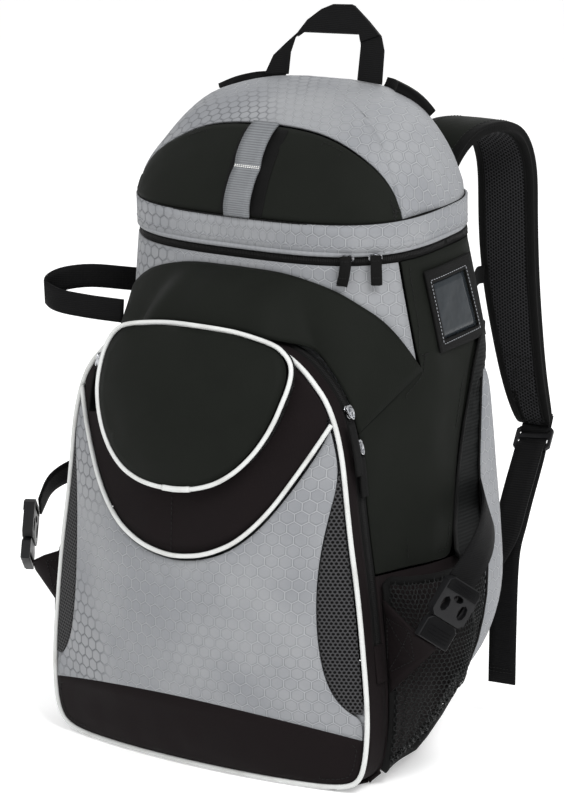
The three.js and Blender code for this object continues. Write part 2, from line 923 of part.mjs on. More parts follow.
add(
  "front_yoke",
  wall(
    (u, v) => {
      const t = mix(0.015, 0.985, u);
      const low = yokeLine(t, YOKE_LAP);
      const row = mix(-1, 1, t);
      const number = Math.sign(row || 1) * mix(LAST, archFrom, Math.abs(row));
      const high = outlineAt(OUTLINE, number, PANEL_INSET);
      return onFront(mix(low.x, high.x, v), mix(low.z, high.z, v));
    },
    16,
    4,
    CLOTH,
  ),
  "brown",
);
const CRESCENT_ROWS = PANEL_ROWS.slice(2, 10).map(({ z }, i) => ({ z, i }));
const crescent = wall(
  (u, v) => {
    const z = spread(CRESCENT_ROWS, v);
    const inner = smooth(CRESCENT, "x", "z", z) + 2 * GAP;
    const outer = outlineAt(OUTLINE, outlineRow(z), PANEL_INSET + GAP).x;
    return onFront(mix(inner, Math.max(outer, inner + 0.4), u), z);
  },
  2,
  CRESCENT_ROWS.length - 1,
  MESH_CLOTH,
);
addPair("mesh_crescent", crescent, "mesh");
// Row number along the whole outline: past its top it counts on down the left side.
const overTop = (number) => (number <= LAST ? number : number - 2 * LAST);
const PIPE_STEPS = 56;
const PIPE_SIDES = 5;
const THIN_PIPE = 1.9; // radius of the piping on the yoke and the shield
const YOKE_PROUD = 1.4; // the yoke's piping stands this far forward
const pipePlaces = Array.from({ length: PIPE_STEPS }, (_, k) => {
  const p = outlineAt(OUTLINE, overTop((2 * LAST * k) / PIPE_STEPS));
  return onFront(p.x, p.z);
});
add("front_piping", cord(pipePlaces, PIPE_RADIUS, PIPE_SIDES, true), "piping", 0.5);
const yokePlaces = steps(0.02, 0.98, 20).map((share) => {
  const p = yokeLine(share, 0);
  return onFront(p.x, p.z, YOKE_PROUD);
});
add("yoke_piping", cord(yokePlaces, THIN_PIPE, PIPE_SIDES, false), "piping", 0.5);

const gussetAt = (number, depth) => {
  const p = outlineAt(OUTLINE, number);
  return new THREE.Vector3(p.x, frontY(p.x, p.z) + depth, p.z);
};
// Row number from a row on the right, over the top, to that row on the left.
const overArch = (row, u) => overTop(mix(row, 2 * LAST - row, u));
const zipRow = outlineRow(ZIP_LOW);
const GUSSET_FOOT = 3.4; // row where the gusset meets the base
const NOTCH = 0.05; // half the row step where the gusset narrows to make room for the zip
const gussetRows = [
  ...steps(GUSSET_FOOT, zipRow - NOTCH, 4),
  ...steps(zipRow + NOTCH, 2 * LAST - zipRow - NOTCH, 34),
  ...steps(2 * LAST - zipRow + NOTCH, 2 * LAST - GUSSET_FOOT, 4),
].map((row, i) => ({ row, i }));
add(
  "front_gusset",
  wall(
    (u, v) => {
      const number = overTop(line(gussetRows, "row", "i", u * (gussetRows.length - 1)));
      const below = Math.abs(number) < zipRow;
      return gussetAt(number, mix(PANEL_INSET, below ? GUSSET_END - 0.6 : ZIP_EDGE, v));
    },
    gussetRows.length - 1,
    1,
    CLOTH,
    { inside: POCKET_MIDDLE },
  ),
  "brown",
);
add(
  "front_zip_tape",
  wall(
    (u, v) => gussetAt(overArch(zipRow + 0.3, u), mix(ZIP_EDGE + GAP, GUSSET_END - GAP, v)),
    36,
    1,
    1.4,
    { lift: -0.5, inside: POCKET_MIDDLE },
  ),
  "webbing",
);
// Smooth black hood over the pocket's top. Its front edge runs behind the zip at the sides and is drawn
// forward over the zip in the middle, to end behind the shield.
const HOOD_COVER = 4.6; // how far it stands over the gusset there
const HOOD_NARROW = 58; // it covers the zip fully inside this half width
const HOOD_WIDE = 90; // and lies behind the zip outside this one
const HOOD_TURN = 73;
const hoodRow = outlineRow(290);
const hoodFront = (u) => {
  const number = overArch(hoodRow, u);
  const p = outlineAt(OUTLINE, number);
  const cover = 1 - step(Math.abs(p.x), HOOD_NARROW, HOOD_WIDE);
  const rise = 1 - step(Math.abs(p.x), HOOD_WIDE - 4, HOOD_WIDE + 28);
  const edge = gussetAt(number, mix(GUSSET_END + GAP, 0, cover));
  edge.z += HOOD_COVER * rise;
  return edge;
};
add(
  "front_hood",
  wall(
    (u, v) => {
      const turn = mix(HOOD_TURN, -HOOD_TURN, u);
      const z = smooth(ARCH, "z", "turn", Math.abs(turn));
      const to = bodyPoint(turn - 90, z);
      const out = to.clone().sub(new THREE.Vector3(0, 30, z)).setZ(0).normalize();
      to.addScaledVector(out, 2.6);
      const swell = 4 * v * (1 - v) * 7 * Math.sin(Math.PI * u) ** 2;
      return hoodFront(u).lerp(to, v).add(new THREE.Vector3(0, -0.6 * swell, 0.8 * swell));
    },
    24,
    4,
    CLOTH,
  ),
  "black",
  0.7,
);

// Shield pocket.
const shieldDepth = (z) => mix(12, 8, step(z, 290, 370));
const shieldNumber = (u) => {
  const last = SHIELD.length - 1;
  const number = (((u % 1) + 1) % 1) * 2 * last;
  return number <= last ? number : number - 2 * last;
};
const shieldPlace = (u, share) => {
  const p = outlineAt(SHIELD, shieldNumber(u));
  const x = mix(SHIELD_MIDDLE.x, p.x, share);
  const z = mix(SHIELD_MIDDLE.z, p.z, share);
  return onFront(x, z, shieldDepth(z) + SHIELD_SWELL * (1 - share * share));
};
add(
  "shield_face",
  wall((u, v) => shieldPlace(u, mix(0.965, 0.3, v)), 28, 2, CLOTH, { ring: true, cap: true }),
  "black",
  0.7,
);
add(
  "shield_zip_gusset",
  wall(
    (u, v) => {
      const p = outlineAt(SHIELD, shieldNumber(u));
      const depth = shieldDepth(p.z);
      const from = mix(0.6, 3.2, step(p.z, 310, 340));
      return onFront(p.x, p.z, mix(from, depth - 2.6, v));
    },
    32,
    1,
    1.4,
    { ring: true, inside: SHIELD_INSIDE },
  ),
  "webbing",
);
const SHIELD_STEPS = 32;
const shieldPipe = Array.from({ length: SHIELD_STEPS }, (_, k) => shieldPlace(k / SHIELD_STEPS, 1));
add("shield_piping", cord(shieldPipe, THIN_PIPE, PIPE_SIDES, true), "piping", 0.5);

// Name window on the right side: a frame and its clear sheet, by girth and height.
const WINDOW = table(
  ["corner", "outerGirth", "outerZ", "innerGirth", "innerZ"],
  [
    [0, -35, 404.5, -26, 393.5],
    [1, 12.2, 404.5, 8.2, 393.5],
    [2, 18.2, 338.5, 14, 347.5],
    [3, -22, 338.5, -15, 347.5],
  ],
);
const windowPlace = (u, v) => {
  const number = (((u % 1) + 1) % 1) * 4;
  const a = WINDOW[Math.floor(number) % 4];
  const b = WINDOW[(Math.floor(number) + 1) % 4];
  const t = number - Math.floor(number);
  const girth = mix(mix(a.innerGirth, b.innerGirth, t), mix(a.outerGirth, b.outerGirth, t), v);
  return sidePoint(girth, mix(mix(a.innerZ, b.innerZ, t), mix(a.outerZ, b.outerZ, t), v));
};
add("name_window_frame", wall(windowPlace, 16, 1, 1.4, { ring: true, lift: 2.8 }), "black");
add(
  "name_window",
  wall(
    (u, v) => {
      const z = mix(347.5, 393.5, v);
      const left = mix(-15, -26, v);
      const right = mix(14, 8.2, v);
      return sidePoint(mix(left, right, mix(0.02, 0.98, u)), mix(z, 370, 0.02));
    },
    4,
    2,
    0.6,
    { lift: 1.8 },
  ),
  "clear",
  0.15,
);

// Side pockets: one mesh piece, swelling low down under an open mouth, and running up behind the side panel
// as a strip. Above the mouth the strip's stations lie between the panel and the rear gusset.
const pocketHeights = [14, 45, 85, 125, 158, POCKET_MOUTH, 184, 235, 270, 306, 320, 343];
const POCKET_ROWS = pocketHeights.map((z, i) => ({ z, i }));
const POCKET_STATIONS = [-106, -100, -84, -66, -48, -31, -18, -5, 8];
const STRIP_COLUMN = 5; // the strip starts at this station
const STRIP_RISE = 184; // height where the strip has left the pocket
const POCKET_STAND = 3.6; // the mesh stands this far off the shell before it swells
const MOUTH_ROW = POCKET_ROWS.find((row) => row.z === POCKET_MOUTH).i;
const stripFrom = POCKET_STATIONS[STRIP_COLUMN];
const stripTo = POCKET_STATIONS[POCKET_STATIONS.length - 1];
const pocketAt = (girth, z) => {
  const rise = step(z, POCKET_MOUTH, STRIP_RISE);
  const share = (girth - stripFrom) / (stripTo - stripFrom);
  const inStrip = mix(line(SIDE, "end", "z", z) + 2.6, line(REAR, "start", "z", z) - 0.9, share);
  const p = sidePoint(mix(girth, inStrip, rise), z);
  const swell = smooth(POCKET_GIRTH, "swell", "girth", girth) * line(POCKET_RISE, "swell", "z", z);
  p.x += swell + mix(POCKET_STAND, 0, rise);
  return p;
};
const pocketPoint = (u, v) => {
  const z = spread(POCKET_ROWS, v);
  const number = u * (POCKET_STATIONS.length - 1);
  const k = Math.min(Math.floor(number), POCKET_STATIONS.length - 2);
  return pocketAt(POCKET_STATIONS[k], z).lerp(pocketAt(POCKET_STATIONS[k + 1], z), number - k);
};
addPair(
  "side_mesh_pocket",
  wall(pocketPoint, POCKET_STATIONS.length - 1, POCKET_ROWS.length - 1, MESH_CLOTH, {
    keep: (i, j) => j < MOUTH_ROW || i >= STRIP_COLUMN,
  }),
  "mesh",
);

// Buckled side straps: a cloth wing in front, a side-release buckle, and webbing from the rear gusset.
const buckleFrom = new THREE.Vector3(203, -82, 128);
const buckleTo = new THREE.Vector3(220, -52, 178);
const buckleAlong = buckleTo.clone().sub(buckleFrom).normalize();
const buckleOut = new THREE.Vector3(0.86, -0.51, 0);
buckleOut.addScaledVector(buckleAlong, -buckleOut.dot(buckleAlong)).normalize();
const buckleAcross = new THREE.Vector3().crossVectors(buckleAlong, buckleOut);
const BUCKLE_WIDE = 33;
const BUCKLE_THICK = 9;
const buckleAt = (share) => buckleFrom.clone().lerp(buckleTo, share);
const socket = plate(
  tablet(BUCKLE_WIDE, 34, 4),
  [oval(-9, 5, 4, 6.5), oval(9, 5, 4, 6.5), tablet(24, 4.5, 1, 0, -11.5).reverse(), oval(0, -3, 5, 3)],
  BUCKLE_THICK,
  buckleAt(0.7),
  buckleAcross.clone().negate(),
  buckleAlong.clone().negate(),
  buckleOut,
);
addPair("buckle_socket", socket, "plastic", 0.45);
const plug = plate(
  [
    [-15, -12],
    [15, -12],
    [15, 4],
    [11, 8],
    [-11, 8],
    [-15, 4],
  ],
  [tablet(24, 4.5, 1, 0, -7).reverse()],
  7,
  buckleAt(0.28),
  buckleAcross,
  buckleAlong,
  buckleOut,
);
addPair("buckle_plug", plug, "plastic", 0.45);
const WING_Y = -70;
const WING_LOW = 80;
const WING_HIGH = 156;
const wingRoot = (side) => {
  const z = mix(WING_LOW, WING_HIGH, side);
  return new THREE.Vector3(smooth(FRONT, "edge", "z", z) + 2.6, WING_Y, z);
};
const wingTip = (side) =>
  buckleAt(0.06)
    .addScaledVector(buckleAcross, mix(12, -12, side))
    .addScaledVector(buckleOut, -5.5);
const wing = wall(
  (u, side) => wingRoot(side).lerp(wingTip(side), u),
  4,
  2,
  2,
  { inside: SIDE_MIDDLE },
);
addPair("side_wing", wing, "brown");
const strapEnd = buckleAt(0.94).addScaledVector(buckleOut, -6.5);
const sideStrap = strap(
  run(
    [
      [161.9, 64, 219],
      [184, 38, 213],
      [205, 2, 203],
      [216, -30, 192],
      [strapEnd.x, strapEnd.y, strapEnd.z],
    ],
    10,
    WEBBING,
    1.8,
    [0, 0.25, -0.97],
    buckleAcross.toArray(),
  ),
);
addPair("side_strap", sideStrap, "webbing");

// Webbing loop on the left for a stick shaft.
add(
  "stick_loop",
  strap(
    run(
      [
        [-147, 26, 368],
        [-166, 10, 371],
        [-192, -8, 373],
        [-211, -24, 369],
        [-214, -36, 362],
        [-200, -41, 357],
        [-172, -38, 354],
        [-136.6, -29.8, 352],
      ],
      18,
      20,
      1.8,
      [0, 0, 1],
    ),
  ),
  "webbing",
);

// Grab handle: flat webbing folded at its corners, leaning back.
const HANDLE = table(
  ["x", "rise"],
  [
    [-59, -0.6],
    [-54, 16],
    [-44, 27],
    [-34, 37],
    [-26, 48],
    [-14, 58],
    [-3, 63],
    [16, 64],
    [33, 52],
    [49, 39],
    [54, 28],
    [58, -0.4],
    [34, 1.4],
    [31, 30],
    [28, 40],
    [-30, 38],
    [-36, 33],
    [-38, 20],
    [-36, 1.4],
  ],
);
const HANDLE_THICK = 2.6;
const handleFoot = new THREE.Vector3(0, 68, 548.4);
const handleRise = new THREE.Vector3(0, 0.33, 0.944).normalize();
const handleFace = new THREE.Vector3().crossVectors(RIGHT, handleRise);
const handleEdge = HANDLE.map((row) => [row.x, row.rise]);
add("grab_handle", plate(handleEdge, [], HANDLE_THICK, handleFoot, RIGHT, handleRise, handleFace), "webbing");

// Shoulder straps: padded, from the top of the back out behind and down to a ladder lock.
const STRAP = table(
  ["x", "y", "z", "width", "thick"],
  [
    [68, 110, 402, 44, 5],
    [70, 109.6, 438, 46, 6],
    [75, 110, 472, 48, 8],
    [84, 119, 497, 50, 9],
    [91, 136, 507, 51, 10],
    [96, 159, 508, 52, 10],
    [97, 184, 498, 52, 10],
    [98, 200, 472, 52, 10],
    [98, 204, 430, 52, 10],
    [100, 205, 382, 51, 10],
    [106, 207, 330, 46, 10],
    [113, 211, 280, 40, 9],
    [119, 216, 250, 34, 8],
    [119.6, 220, 241.4, 27, 2.6],
  ],
);
const strapStations = steps(0, STRAP.length - 1, 18).map((at) => {
  const get = (key) => smooth(STRAP, key, "i", at);
  const place = new THREE.Vector3(get("x"), get("y"), get("z"));
  return { place, across: RIGHT, width: get("width"), thick: get("thick") };
});
addPair("shoulder_strap", strap(strapStations, 0.6), "black");
const tab = wall(
  (u, v) => lidPoint(mix(14, 32, u), mix(0.66, 0.9, v)),
  4,
  2,
  6.6,
  { lift: 7.5, inside: LID_MIDDLE },
);
addPair("strap_tab", tab, "webbing");
// Lower webbing: from the back corner up round the ladder lock's bar, then back down to a hanging tail.
const lockPlace = new THREE.Vector3(122, 212, 230);
const anchor = new THREE.Vector3(148, 122, 152);
const lockAlong = anchor.clone().sub(lockPlace).normalize();
const lockOut = new THREE.Vector3().crossVectors(new THREE.Vector3(1, 0.2, 0), lockAlong).normalize();
const lockAcross = new THREE.Vector3().crossVectors(lockAlong, lockOut);
const lock = plate(
  tablet(33, 24, 3),
  [tablet(27, 8, 0.8, 0, 4.5).reverse(), tablet(27, 4, 0.8, 0, -6).reverse()],
  3.4,
  lockPlace,
  lockAcross,
  lockAlong,
  lockOut,
);
addPair("ladder_lock", lock, "plastic", 0.45);
const byLock = (along, out) =>
  lockPlace.clone().addScaledVector(lockAlong, along).addScaledVector(lockOut, out);
const lockLength = anchor.distanceTo(lockPlace);
const lowerPlaces = [
  new THREE.Vector3(145, 111.6, 146),
  byLock(0.9 * lockLength, -5),
  byLock(0.6 * lockLength, -6),
  byLock(24, -4.6),
  byLock(13, -4.2),
  byLock(7, -2.8),
  byLock(4.6, 0),
  byLock(7, 2.8),
  byLock(13, 4.2),
  byLock(24, 4.6),
  byLock(0.55 * lockLength, 4),
  byLock(0.72 * lockLength, 5),
  new THREE.Vector3(144, 134, 150),
  new THREE.Vector3(143, 132, 100),
  new THREE.Vector3(143, 131, 34),
];
const lowerWebbing = strap(
  run(
    lowerPlaces.map((p) => p.toArray()),
    30,
    WEBBING,
    1.6,
    [0.93, -0.36, 0],
    lockAcross.toArray(),
    lockAcross.toArray(),
    lockAcross.toArray(),
    lockAcross.toArray(),
    [1, 0.1, 0],
    [1, 0.1, 0],
  ),
);
addPair("lower_webbing", lowerWebbing, "webbing");
const stabiliser = strap(
  run(
    [
      [121, 107.6, 372],
      [104, 142, 376],
      [84, 180, 374],
      [77, 199.4, 371],
    ],
    8,
    15,
    1.6,
    [0, 0, 1],
  ),
);
addPair("strap_stabiliser", stabiliser, "webbing");

// Zip sliders and ribbon pulls.
const PULL_WIDE = 9;
const PULL_THICK = 1.5;
const PULL_DROP = 8; // a pull starts this far under its slider's middle
const TOP_ZIP = 423.2; // height of the lid zip's sliders on the body
const sliderAt = (place, along, out, name) => {
  const side = new THREE.Vector3().crossVectors(along, out).normalize();
  add(name, plate(tablet(8, 11, 2), [], 4, place, side, along, out), "metal", 0.3, 1);
};
const TOP_SLIDERS = table(
  ["turn", "name"],
  [
    [-39.5, "a"],
    [-30.8, "b"],
  ],
);
for (const row of TOP_SLIDERS) {
  const place = bodyPoint(row.turn, TOP_ZIP);
  const next = bodyPoint(row.turn + 1, TOP_ZIP);
  const along = next.clone().sub(place).normalize();
  const out = new THREE.Vector3(along.y, -along.x, 0).normalize();
  const up = new THREE.Vector3().crossVectors(out, along).normalize();
  add(
    "top_zip_slider_" + row.name,
    plate(tablet(11, 3.6, 1), [], 4.4, place.clone().addScaledVector(out, 2.2), along, up, out),
    "metal",
    0.3,
    1,
  );
  add(
    "top_zip_pull_" + row.name,
    wall((u, v) => bodyPoint(row.turn + mix(-2.9, 2.9, u), mix(402, 420.6, v)), 2, 3, PULL_THICK, {
      lift: 4.4,
    }),
    "webbing",
  );
}
const FRONT_SLIDERS = table(
  ["z", "depth", "pull", "shift", "lift", "name"],
  [
    [308, 21, 40, -9, 7.5, "a"],
    [281, 22.5, 32, -1, 4, "b"],
  ],
);
for (const row of FRONT_SLIDERS) {
  const number = outlineRow(row.z);
  const place = gussetAt(number, row.depth);
  const along = gussetAt(number + 0.1, row.depth).sub(place).normalize();
  const out = new THREE.Vector3().crossVectors(new THREE.Vector3(0, -1, 0), along).normalize();
  if (out.x < 0) out.negate();
  sliderAt(place.clone().addScaledVector(out, 2.4), along, out, "front_zip_slider_" + row.name);
  const from = outlineRow(row.z - PULL_DROP);
  const to = outlineRow(row.z - PULL_DROP - row.pull);
  add(
    "front_zip_pull_" + row.name,
    wall(
      (u, v) => gussetAt(mix(to, from, v), row.depth + row.shift + mix(-PULL_WIDE / 2, PULL_WIDE / 2, u)),
      1,
      4,
      1.5,
      { lift: row.lift, inside: POCKET_MIDDLE },
    ),
    "webbing",
  );
}
const shieldSide = onFront(-93, 330, 5);
sliderAt(
  shieldSide.clone().add(new THREE.Vector3(-4.6, 0, 0)),
  new THREE.Vector3(0, 0, 1),
  new THREE.Vector3(-1, 0, 0),
  "shield_zip_slider",
);
add(
  "shield_zip_pull",
  strap(
    run(
      [
        onFront(-98, 322, 6.5).toArray(),
        onFront(-99, 306, 6.5).toArray(),
        onFront(-99, 288, 6.5).toArray(),
      ],
      4,
      9,
      1.5,
      [0, 1, 0],
    ),
  ),
  "webbing",
);

export default bag;
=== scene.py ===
"""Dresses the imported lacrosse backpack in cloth, webbing, net, zips and moulded hardware."""
import json
import math

import bmesh
import bpy
import numpy as np
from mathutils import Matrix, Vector, noise
from mathutils.bvhtree import BVHTree
from mathutils.kdtree import KDTree


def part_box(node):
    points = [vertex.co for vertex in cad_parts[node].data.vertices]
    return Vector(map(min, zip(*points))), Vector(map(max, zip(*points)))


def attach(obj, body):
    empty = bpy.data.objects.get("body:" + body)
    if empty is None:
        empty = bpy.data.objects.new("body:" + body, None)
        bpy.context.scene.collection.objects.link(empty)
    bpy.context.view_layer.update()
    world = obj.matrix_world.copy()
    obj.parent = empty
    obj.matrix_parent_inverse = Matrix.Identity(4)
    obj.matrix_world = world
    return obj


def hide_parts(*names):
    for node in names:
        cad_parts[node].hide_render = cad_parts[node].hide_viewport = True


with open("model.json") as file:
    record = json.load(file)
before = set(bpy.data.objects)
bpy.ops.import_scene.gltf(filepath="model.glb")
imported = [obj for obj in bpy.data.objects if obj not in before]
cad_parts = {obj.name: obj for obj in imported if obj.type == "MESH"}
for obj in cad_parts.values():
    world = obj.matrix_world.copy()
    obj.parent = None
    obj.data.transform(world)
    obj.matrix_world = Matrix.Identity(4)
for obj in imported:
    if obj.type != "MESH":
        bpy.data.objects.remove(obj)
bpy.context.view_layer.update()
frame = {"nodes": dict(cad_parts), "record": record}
NODES = frame["nodes"]

MM = 0.001
SIDES = {"right": 1, "left": -1}  # the sign of x on each side
UV_SHIFT = 1000.0  # keeps the weave's coordinates above zero
SHARP = 0.9  # radians between faces above which an edge stays crisp
SHRINK_PASSES = 2  # rounds that bring smoothed cloth back out to its own corners
SHRINK_SHARE = 0.8  # share of the shrinking that one round makes up for
FOLD_REACH = 18  # folds die out over this distance from a cut edge, mm
FINE_SHARE = 0.5  # depth of the smaller folds, as a share of the large ones
FINE_SCALE = 2.3  # how many times smaller they are
FINE_SHIFT = Vector((7, 3, 5))
FLAT_WITHIN = 0.03  # faces of a moulded piece that turn less than this are one, radians
ROUND_OVER = 0.4  # edges of a moulded piece over this angle are rounded, radians
MOULD_SHARP = 0.6  # edges over this angle are shaded sharp on moulded pieces, radians
SMALL_SHARP = 0.7  # and over this one on small hard shapes
RAY_START = 0.6  # how far off the rays at the whole bag start, m
NEAR_CLOTH = 0.012  # how far off the rays at one panel start, m
NEAR_STRAP = 0.03  # how far off the rays at a shoulder strap start, m
JOIN_WITHIN = 2e-5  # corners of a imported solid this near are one, m
BAG_MIDDLE = Vector((0, 0.02, 0.26))
LID_MIDDLE = Vector((0, 0.04, 0.44))
POCKET_MIDDLE = Vector((0, -0.06, 0.19))
UP = Vector((0, 0, 1))
TO_FRONT = Vector((0, -1, 0))
TO_BACK = Vector((0, 1, 0))

scene = bpy.context.scene
scene.view_settings.view_transform = "Standard"


# Camera and lights.
CAMERA_TURN = 35.0
CAMERA_RISE = 12.8
CAMERA_AWAY = 3.014
CAMERA_LENS = 162.77
CAMERA_TARGET = Vector((0, 0.008, 0.286))


def aim(name, data, target, turn, rise, away):
    """Puts a camera or a light at a distance from its target, looking at it."""
    made = bpy.data.objects.new(name, data)
    scene.collection.objects.link(made)
    a, e = math.radians(turn), math.radians(rise)
    toward = Vector((math.sin(a) * math.cos(e), -math.cos(a) * math.cos(e), math.sin(e)))
    made.location = target + toward * away
    made.rotation_euler = (-toward).to_track_quat("-Z", "Y").to_euler()
    return made


def make_camera():
    data = bpy.data.cameras.new("camera")
    data.sensor_width = 36
    data.lens = CAMERA_LENS
    data.clip_end = 50
    scene.camera = aim("camera", data, CAMERA_TARGET, CAMERA_TURN, CAMERA_RISE, CAMERA_AWAY)


def make_light(name, turn, rise, away, size, watts):
    data = bpy.data.lights.new(name, "AREA")
    data.size = size
    data.energy = watts
    aim(name, data, BAG_MIDDLE, turn, rise, away)


class Look:
    """One procedural material, with the node recipes that the looks share."""

    def __init__(self, name, colour, rough, **sockets):
        self.material = bpy.data.materials.new(name)
        self.material.use_nodes = True
        self.tree = self.material.node_tree
        self.shader = self.tree.nodes["Principled BSDF"]
        self.set(self.shader, "Base Color", (*colour, 1))
        self.use(Roughness=rough, **sockets)

    def set(self, node, key, value):
        socket = node.inputs[key]
        if hasattr(value, "is_output"):
            self.tree.links.new(value, socket)
        else:
            socket.default_value = value

    def node(self, kind, inputs=None, **settings):
        made = self.tree.nodes.new("ShaderNode" + kind)
        for key, value in settings.items():
            setattr(made, key, value)
        for key, value in (inputs or {}).items():
            self.set(made, key, value)
        return made

    def math(self, operation, *values):
        return self.node("Math", dict(enumerate(values)), operation=operation).outputs[0]

    def vector(self, operation, *values):
        made = self.node("VectorMath", dict(enumerate(values)), operation=operation)
        return made.outputs["Value" if operation in ("DOT_PRODUCT", "LENGTH") else "Vector"]

    def between(self, value, low, high, to_low=0.0, to_high=1.0):
        inputs = {"Value": value, "From Min": low, "From Max": high, "To Min": to_low, "To Max": to_high}
        return self.node("MapRange", inputs, interpolation_type="SMOOTHSTEP").outputs[0]

    def colours(self, factor, first, second):
        made = self.node("Mix", {0: factor}, data_type="RGBA")
        self.set(made, 6, first if hasattr(first, "is_output") else (*first, 1))
        self.set(made, 7, second if hasattr(second, "is_output") else (*second, 1))
        return made.outputs[2]

    def weave(self):
        """Coordinates along the cloth, in millimetres."""
        return self.node("UVMap", uv_map="weave").outputs[0]

    def place(self):
        return self.node("TexCoord").outputs["Object"]

    def noise(self, scale, detail=3.0, where=None):
        inputs = {"Vector": where or self.place(), "Scale": scale, "Detail": detail}
        return self.node("TexNoise", inputs).outputs[0]

    def threads(self, pitch, across=(1, 0, 0)):
        """Waves from 0 to 1, one thread to a pitch, along the cloth."""
        along = self.vector("DOT_PRODUCT", self.weave(), across)
        turned = self.math("MULTIPLY", along, 2 * math.pi / pitch)
        return self.math("MULTIPLY_ADD", self.math("SINE", turned), 0.5, 0.5)

    def hexagons(self, width, turn=0.0):
        """How near a place is to the edge of its hexagon: 0 in the middle, 0.5 on the edge."""
        where = self.weave()
        if turn:
            inputs = {"Vector": where, "Angle": turn}
            where = self.node("VectorRotate", inputs, rotation_type="Z_AXIS").outputs[0]
            where = self.vector("ADD", where, (4 * UV_SHIFT, 4 * UV_SHIFT, 0))
        cell = (1, math.sqrt(3), 1)
        half = tuple(c / 2 for c in cell)
        at = self.vector("SCALE", where)
        at.node.inputs["Scale"].default_value = 1 / width
        first = self.vector("SUBTRACT", self.vector("MODULO", at, cell), half)
        moved = self.vector("ADD", at, half)
        second = self.vector("SUBTRACT", self.vector("MODULO", moved, cell), half)
        flat = (1, 1, 0)
        first = self.vector("MULTIPLY", first, flat)
        second = self.vector("MULTIPLY", second, flat)
        nearer = self.math("LESS_THAN", self.vector("LENGTH", first), self.vector("LENGTH", second))
        chosen = self.node("Mix", {0: nearer, 4: second, 5: first}, data_type="VECTOR").outputs[1]
        folded = self.vector("ABSOLUTE", chosen)
        slanted = self.vector("DOT_PRODUCT", folded, (0.5, math.sqrt(3) / 2, 0))
        upright = self.vector("DOT_PRODUCT", folded, (1, 0, 0))
        return self.math("MAXIMUM", slanted, upright)

    def bump(self, height, depth, strength=1.0, under=None):
        inputs = {"Height": height, "Distance": depth, "Strength": strength}
        if under is not None:
            inputs["Normal"] = under
        return self.node("Bump", inputs).outputs[0]

    def use(self, **sockets):
        """Sets or links the shader's sockets, and gives the finished material."""
        for key, value in sockets.items():
            self.set(self.shader, key.replace("_", " "), value)
        return self.material


def ripstop(name):
    """Cloth with embossed hexagons, whose lines are pale on one flank of the bag and dark on the other: a
    painted highlight toward the lit right and painted shade toward the shaded left, with painted shade in
    patches beside the lines.
    """
    sheen = {"Sheen_Weight": 0.06, "Sheen_Roughness": 0.4}
    look = Look(name, (0.22, 0.225, 0.235), 0.6, Specular_IOR_Level=0.25, **sheen)
    edge = look.hexagons(10.5)
    line = look.between(edge, 0.452, 0.482)
    flank = look.between(edge, 0.39, 0.452)
    mottle = look.noise(16, 5)
    cloth = look.colours(look.between(mottle, 0.3, 0.7), (0.200, 0.207, 0.221), (0.252, 0.258, 0.268))
    # Painted shade: the flanks beside the hexagon lines are darkened, more in noisy patches.
    shade_patch = look.between(look.noise(11, 2), 0.42, 0.62, 0.16, 0.55)
    shaded = look.colours(look.math("MULTIPLY", flank, shade_patch), cloth, (0.145, 0.152, 0.164))
    # Painted light and shade: the lines are painted pale, as a highlight, toward the bag's right and dark,
    # as shade, toward its left.
    toward_shade = look.vector("DOT_PRODUCT", look.place(), (-1.6, 0.6, 0.0))
    shaded_side = look.between(look.math("ADD", toward_shade, look.noise(7, 2)), 0.52, 0.66)
    line_light_and_shade = look.colours(shaded_side, (0.38, 0.39, 0.405), (0.10, 0.105, 0.115))
    lined = look.colours(look.math("MULTIPLY", line, 0.75), shaded, line_light_and_shade)
    warp = look.math("MULTIPLY", look.threads(0.7), look.threads(0.7, (0, 1, 0)))
    fine = look.bump(warp, 0.00006, 0.5)
    raised = look.bump(look.math("SUBTRACT", line, flank), 0.0005, 0.8, fine)
    rough = look.between(mottle, 0.2, 0.8, 0.5, 0.66)
    return look.use(Base_Color=lined, Roughness=rough, Normal=raised)


def plain_cloth(name, dark, light, rough, pitch, sheen, shine=0.05):
    """Plain weave, one thread to a pitch in mm, with a mottled tone."""
    look = Look(name, dark, rough, Specular_IOR_Level=shine, Sheen_Weight=sheen, Sheen_Roughness=0.5)
    mottle = look.noise(35, 5)
    cross = look.math("MAXIMUM", look.threads(pitch), look.threads(pitch, (0, 1, 0)))
    tone = look.math("MULTIPLY_ADD", cross, 0.35, look.math("MULTIPLY", mottle, 0.65))
    fine = look.bump(cross, 0.00012, 0.6)
    soft = look.bump(look.noise(260, 2), 0.0002, 0.35, fine)
    rough_map = look.between(mottle, 0.25, 0.75, rough - 0.08, rough + 0.08)
    return look.use(Base_Color=look.colours(tone, dark, light), Roughness=rough_map, Normal=soft)


def webbing(name, dark, light, pitch=1.6, rough=0.68):
    """Flat webbing: ribs across it, over fine cords along it."""
    look = Look(name, dark, rough, Specular_IOR_Level=0.06, Sheen_Weight=0.01, Sheen_Roughness=0.4)
    ribs = look.threads(pitch, (0, 1, 0))
    picks = look.threads(pitch * 0.6, (1, 0, 0))
    woven = look.math("MULTIPLY_ADD", ribs, 0.6, look.math("MULTIPLY", picks, 0.4))
    worn = look.noise(90, 4)
    tone = look.math("MULTIPLY_ADD", woven, 0.7, look.math("MULTIPLY", worn, 0.3))
    raised = look.bump(woven, 0.0003, 0.8)
    return look.use(Base_Color=look.colours(tone, dark, light), Normal=raised)


